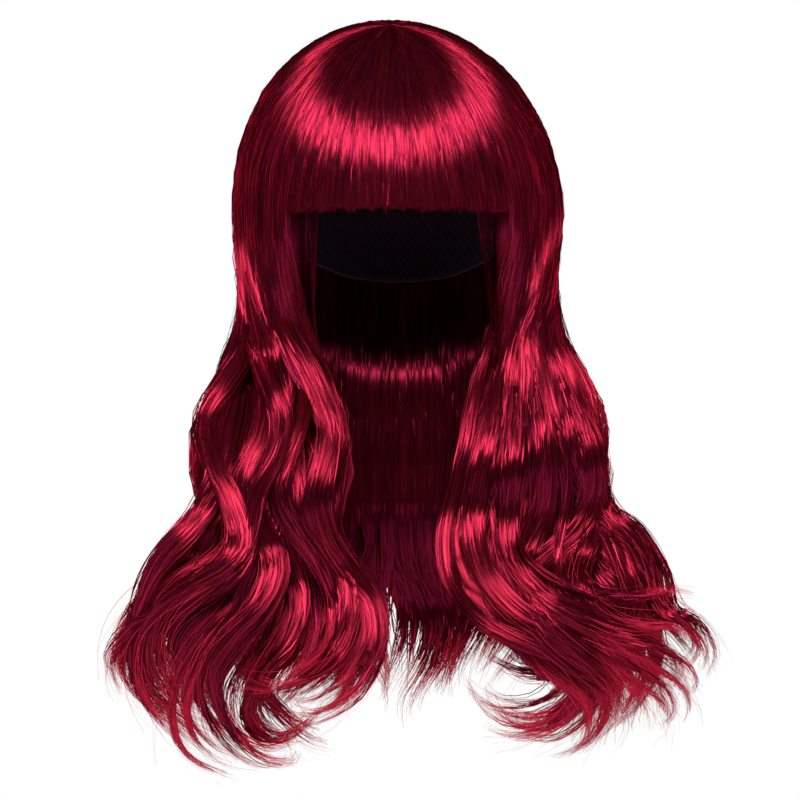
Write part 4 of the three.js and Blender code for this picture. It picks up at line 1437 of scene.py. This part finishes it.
class WIG_PG_hair(PropertyGroup):
    """Sizes and colours of the hair."""

    strand_width: FloatProperty(
        name="Strand width", description="Width of one strand of hair", default=0.0008, unit="LENGTH"
    )
    loose_width: FloatProperty(
        name="Loose hair width", description="Width of a single loose hair", default=0.0003, unit="LENGTH"
    )
    fringe_count: IntProperty(name="Fringe strands", description="Strands in the fringe", default=4300)
    side_count: IntProperty(name="Side strands", description="Strands outside each length", default=1500)
    inner_count: IntProperty(name="Inner strands", description="Strands inside each length", default=1500)
    back_count: IntProperty(name="Back strands", description="Strands outside the back", default=1450)
    loose_count: IntProperty(name="Loose hairs", description="Loose hairs on each part", default=240)
    seed: IntProperty(name="Seed", description="Start of the random order", default=7)
    dark_dye: FloatVectorProperty(
        name="Dark dye",
        description="Colour of the darkest strands",
        subtype="COLOR",
        size=4,
        default=linear("720d38"),
    )
    bright_dye: FloatVectorProperty(
        name="Bright dye",
        description="Colour of the brightest strands",
        subtype="COLOR",
        size=4,
        default=linear("de3249"),
    )
    # The end dye is brighter than the bright dye: painted light for the light that passes through fine ends.
    end_painted_light_dye: FloatVectorProperty(
        name="End dye",
        description="Colour of fine ends, which let light through",
        subtype="COLOR",
        size=4,
        default=linear("fa3252"),
    )


class WIG_PG_cap(PropertyGroup):
    """Sizes and colour of the cap."""

    mesh_size: FloatProperty(
        name="Net mesh", description="Two thirds of the threads' spacing", default=0.0024, unit="LENGTH"
    )
    net: FloatVectorProperty(
        name="Net", description="Colour of the elastic net", subtype="COLOR", size=4, default=linear("3a0f1a")
    )


class WIG_PG_stage(PropertyGroup):
    """Camera, floor and light."""

    camera_distance: FloatProperty(
        name="Camera distance", description="From the camera to the origin", default=2.28, unit="LENGTH"
    )
    camera_height: FloatProperty(
        name="Camera height", description="Height of the camera", default=-0.226, unit="LENGTH"
    )
    floor_height: FloatProperty(
        name="Floor height", description="Height of the floor", default=-1.2, unit="LENGTH"
    )
    floor_radius: FloatProperty(
        name="Floor radius", description="How far the floor reaches", default=3.0, unit="LENGTH"
    )
    paper: FloatVectorProperty(
        name="Paper", description="Colour of the floor", subtype="COLOR", size=4, default=linear("f4f2f2")
    )
    key_power: FloatProperty(
        name="Key light", description="Power of the front light", default=33.0, unit="POWER"
    )
    bounce_power: FloatProperty(
        name="Bounce light", description="Power of the light thrown up from below", default=5.0, unit="POWER"
    )
    rim_power: FloatProperty(
        name="Rim light", description="Power of each side light", default=7.0, unit="POWER"
    )
    fill: FloatVectorProperty(
        name="Fill", description="Colour of the dim light", subtype="COLOR", size=4, default=linear("c8b8ff")
    )
    ambient: FloatProperty(name="Ambient", description="Strength of the light all round", default=0.055)


def hair_materials(context, streaked):
    """The fibre of an underlayer, or that of strands and of their fine ends."""
    settings = context.scene.wig_hair
    dark, bright, end = tuple(settings.dark_dye), tuple(settings.bright_dye), tuple(settings.end_painted_light_dye)
    if streaked:
        kinds = [("synthetic_fibre_underlayer", (dark, bright), FIBRE_SHINE)]
    else:
        kinds = [
            ("synthetic_fibre", (dark, bright), FIBRE_SHINE),
            # Fine ends run from the bright dye to the brighter end dye: painted light for the light passing
            # through them.
            ("synthetic_fibre_ends", (bright, end), ENDS_SHINE),
        ]
    return [bpy.data.materials.get(kind[0]) or synthetic_fibre(*kind, streaked) for kind in kinds]


class WIG_OT_cap(Operator):
    """Build the net cap under the hair"""

    bl_idname = "wig.cap"
    bl_label = "Cap"

    def execute(self, context):
        settings = context.scene.wig_cap
        piece = tube_piece("cap_net", [cap_rings()])
        dress(piece, [elastic_net("elastic_net", tuple(settings.net), settings.mesh_size)], ["cap"])
        return {"FINISHED"}


class WIG_OT_fringe(Operator):
    """Build the blunt fringe at the front"""

    bl_idname = "wig.fringe"
    bl_label = "Fringe"

    def execute(self, context):
        settings = context.scene.wig_hair
        rng = np.random.default_rng(settings.seed)
        strands = fringe_strands(rng, settings.fringe_count, settings.strand_width / MM)
        thin = settings.loose_width / MM
        loose = loose_hairs(rng, strands, settings.loose_count // 2, thin, SPRING["fringe"])
        # Its strands are cut, so it has no fine ends.
        piece = ribbon_piece("fringe_strands", [strands, loose], rng, 0.0)
        dress(piece, hair_materials(context, False)[:1], ["fringe"])
        core = tube_piece("fringe_underlayer", dome_core(-FRINGE_ANGLE, FRINGE_ANGLE, FRINGE_DOME))
        dress(core, hair_materials(context, True), ["fringe"])
        return {"FINISHED"}


class WIG_OT_lengths(Operator):
    """Build the lengths at the two sides and the back, with the hair over the cap that they grow from"""

    bl_idname = "wig.lengths"
    bl_label = "Lengths"

    def execute(self, context):
        settings = context.scene.wig_hair
        width, thin = settings.strand_width / MM, settings.loose_width / MM
        lengths = (
            ("right", RIGHT_BUNCH, RIGHT_TRESSES, settings.side_count, settings.inner_count),
            ("left", LEFT_BUNCH, LEFT_TRESSES, settings.side_count, settings.inner_count),
            ("back", BACK_BUNCH, (), settings.back_count, settings.inner_count * 2 // 3),
        )
        for number, (name, bunch, tresses, outer_count, inner_count) in enumerate(lengths):
            rng = np.random.default_rng(settings.seed + 1 + number)
            wisps = wisp_lines(bunch, rng)
            surface = surface_strands(bunch, wisps, rng, outer_count, width)
            inner = inner_strands(bunch, wisps, rng, inner_count, width)
            loose = loose_hairs(rng, surface, settings.loose_count, thin, SPRING["surface"])
            piece = ribbon_piece(f"{name}_strands", [surface, loose], rng, FINE_WIDTH)
            dress(piece, hair_materials(context, False), [f"{name}_length", "crown_hair"])
            batches = [inner]
            if tresses:
                over = tress_strands(bunch, tresses, rng, width)
                loose = loose_hairs(rng, over, settings.loose_count * 2 // 3, thin, SPRING["tress"])
                batches += [over, loose]
            curls = ribbon_piece(f"{name}_curls", batches, rng, FINE_WIDTH)
            dress(curls, hair_materials(context, False), [f"{name}_length"])
            core = tube_piece(f"{name}_underlayer", bunch_core(bunch, wisps) + tress_cores(bunch, tresses))
            dress(core, hair_materials(context, True), [f"{name}_length"])
        core = tube_piece("crown_underlayer", dome_core(FRINGE_ANGLE, 360 - FRINGE_ANGLE, CROWN_DOME))
        dress(core, hair_materials(context, True), ["crown_hair"])
        return {"FINISHED"}


def aim(thing, target):
    thing.rotation_euler = (Vector(target) - thing.location).to_track_quat("-Z", "Y").to_euler()


def add_softbox(name, softbox, power):
    """Adds a studio light that the camera doesn't see."""
    light = bpy.data.lights.new(name, "AREA")
    light.shape = "RECTANGLE"
    light.size, light.size_y = softbox.size
    light.energy = power
    lamp = bpy.data.objects.new(name, light)
    lamp.location = softbox.place
    lamp.visible_camera = False
    aim(lamp, softbox.target)
    bpy.context.scene.collection.objects.link(lamp)
    return lamp


def light_room(scene, settings):
    """Gives the scene a world that looks white and gives a dim, tinted light."""
    world = bpy.data.worlds.new("studio")
    scene.world = world
    world.use_nodes = True
    tree = world.node_tree
    tree.nodes.clear()
    seen = add_node(tree, "ShaderNodeLightPath", {}, {}).outputs["Is Camera Ray"]
    strengths = {"Factor": seen, "A": settings.ambient, "B": 1.0}
    strength = add_node(tree, "ShaderNodeMix", {"data_type": "FLOAT"}, strengths).outputs["Result"]
    tints = {0: seen, 6: tuple(settings.fill), 7: (1, 1, 1, 1)}
    tint = add_node(tree, "ShaderNodeMix", {"data_type": "RGBA"}, tints).outputs[2]
    shade = add_node(tree, "ShaderNodeBackground", {}, {"Color": tint, "Strength": strength})
    add_node(tree, "ShaderNodeOutputWorld", {}, {"Surface": shade.outputs["Background"]})


def lay_floor(scene, settings):
    """Lays a round floor under the wig."""
    ring = bmesh.new()
    bmesh.ops.create_circle(ring, cap_ends=True, segments=FLOOR_SIDES, radius=settings.floor_radius)
    sheet = bpy.data.meshes.new("floor")
    ring.to_mesh(sheet)
    ring.free()
    floor = bpy.data.objects.new("floor", sheet)
    floor.location = (0, 0, settings.floor_height)
    sheet.materials.append(studio_paper("studio_paper", tuple(settings.paper), settings.floor_radius))
    scene.collection.objects.link(floor)
    return floor


class WIG_OT_stage(Operator):
    """Set up the floor, the studio light and the camera"""

    bl_idname = "wig.stage"
    bl_label = "Stage"

    def execute(self, context):
        settings = context.scene.wig_stage
        scene = context.scene
        scene.view_settings.view_transform = "Standard"
        light_room(scene, settings)
        add_softbox("key", KEY, settings.key_power)
        bounce = add_softbox("bounce", BOUNCE, settings.bounce_power)
        bounce.data.color = settings.fill[:3]
        for name, softbox in RIMS.items():
            add_softbox(name, softbox, settings.rim_power)
        floor = lay_floor(scene, settings)
        # The bounce light stands for what the floor throws up, so it doesn't light the floor itself.
        shaded = bpy.data.collections.new("bounce_misses")
        shaded.objects.link(floor)
        bounce.light_linking.receiver_collection = shaded
        shaded.collection_objects[0].light_linking.link_state = "EXCLUDE"
        camera = bpy.data.cameras.new("camera")
        camera.sensor_width = SENSOR_WIDTH
        camera.lens = LENS
        viewpoint = bpy.data.objects.new("camera", camera)
        viewpoint.location = (CAMERA_ASIDE, -settings.camera_distance, settings.camera_height)
        viewpoint.rotation_euler = (math.pi / 2, 0, 0)
        scene.collection.objects.link(viewpoint)
        scene.camera = viewpoint
        return {"FINISHED"}


class WIG_PT_panel(Panel):
    """Lists the wig's settings and the steps that build it"""

    bl_idname = "WIG_PT_panel"
    bl_label = "Long Wig"
    bl_space_type = "VIEW_3D"
    bl_region_type = "UI"
    bl_category = "Wig"

    def draw(self, context):
        for group, steps in (
            (context.scene.wig_cap, (WIG_OT_cap,)),
            (context.scene.wig_hair, (WIG_OT_fringe, WIG_OT_lengths)),
            (context.scene.wig_stage, (WIG_OT_stage,)),
        ):
            box = self.layout.box()
            for name in group.bl_rna.properties.keys():
                if name not in ("rna_type", "name"):
                    box.prop(group, name)
            for step in steps:
                box.operator(step.bl_idname)


CLASSES = (
    WIG_PG_hair,
    WIG_PG_cap,
    WIG_PG_stage,
    WIG_OT_cap,
    WIG_OT_fringe,
    WIG_OT_lengths,
    WIG_OT_stage,
    WIG_PT_panel,
)


def register():
    for one in CLASSES:
        bpy.utils.register_class(one)
    bpy.types.Scene.wig_hair = PointerProperty(type=WIG_PG_hair)
    bpy.types.Scene.wig_cap = PointerProperty(type=WIG_PG_cap)
    bpy.types.Scene.wig_stage = PointerProperty(type=WIG_PG_stage)


def unregister():
    del bpy.types.Scene.wig_stage
    del bpy.types.Scene.wig_cap
    del bpy.types.Scene.wig_hair
    for one in reversed(CLASSES):
        bpy.utils.unregister_class(one)


def main():
    register()
    bpy.ops.wig.cap()
    bpy.ops.wig.fringe()
    bpy.ops.wig.lengths()
    bpy.ops.wig.stage()


if __name__ == "__main__":
    main()
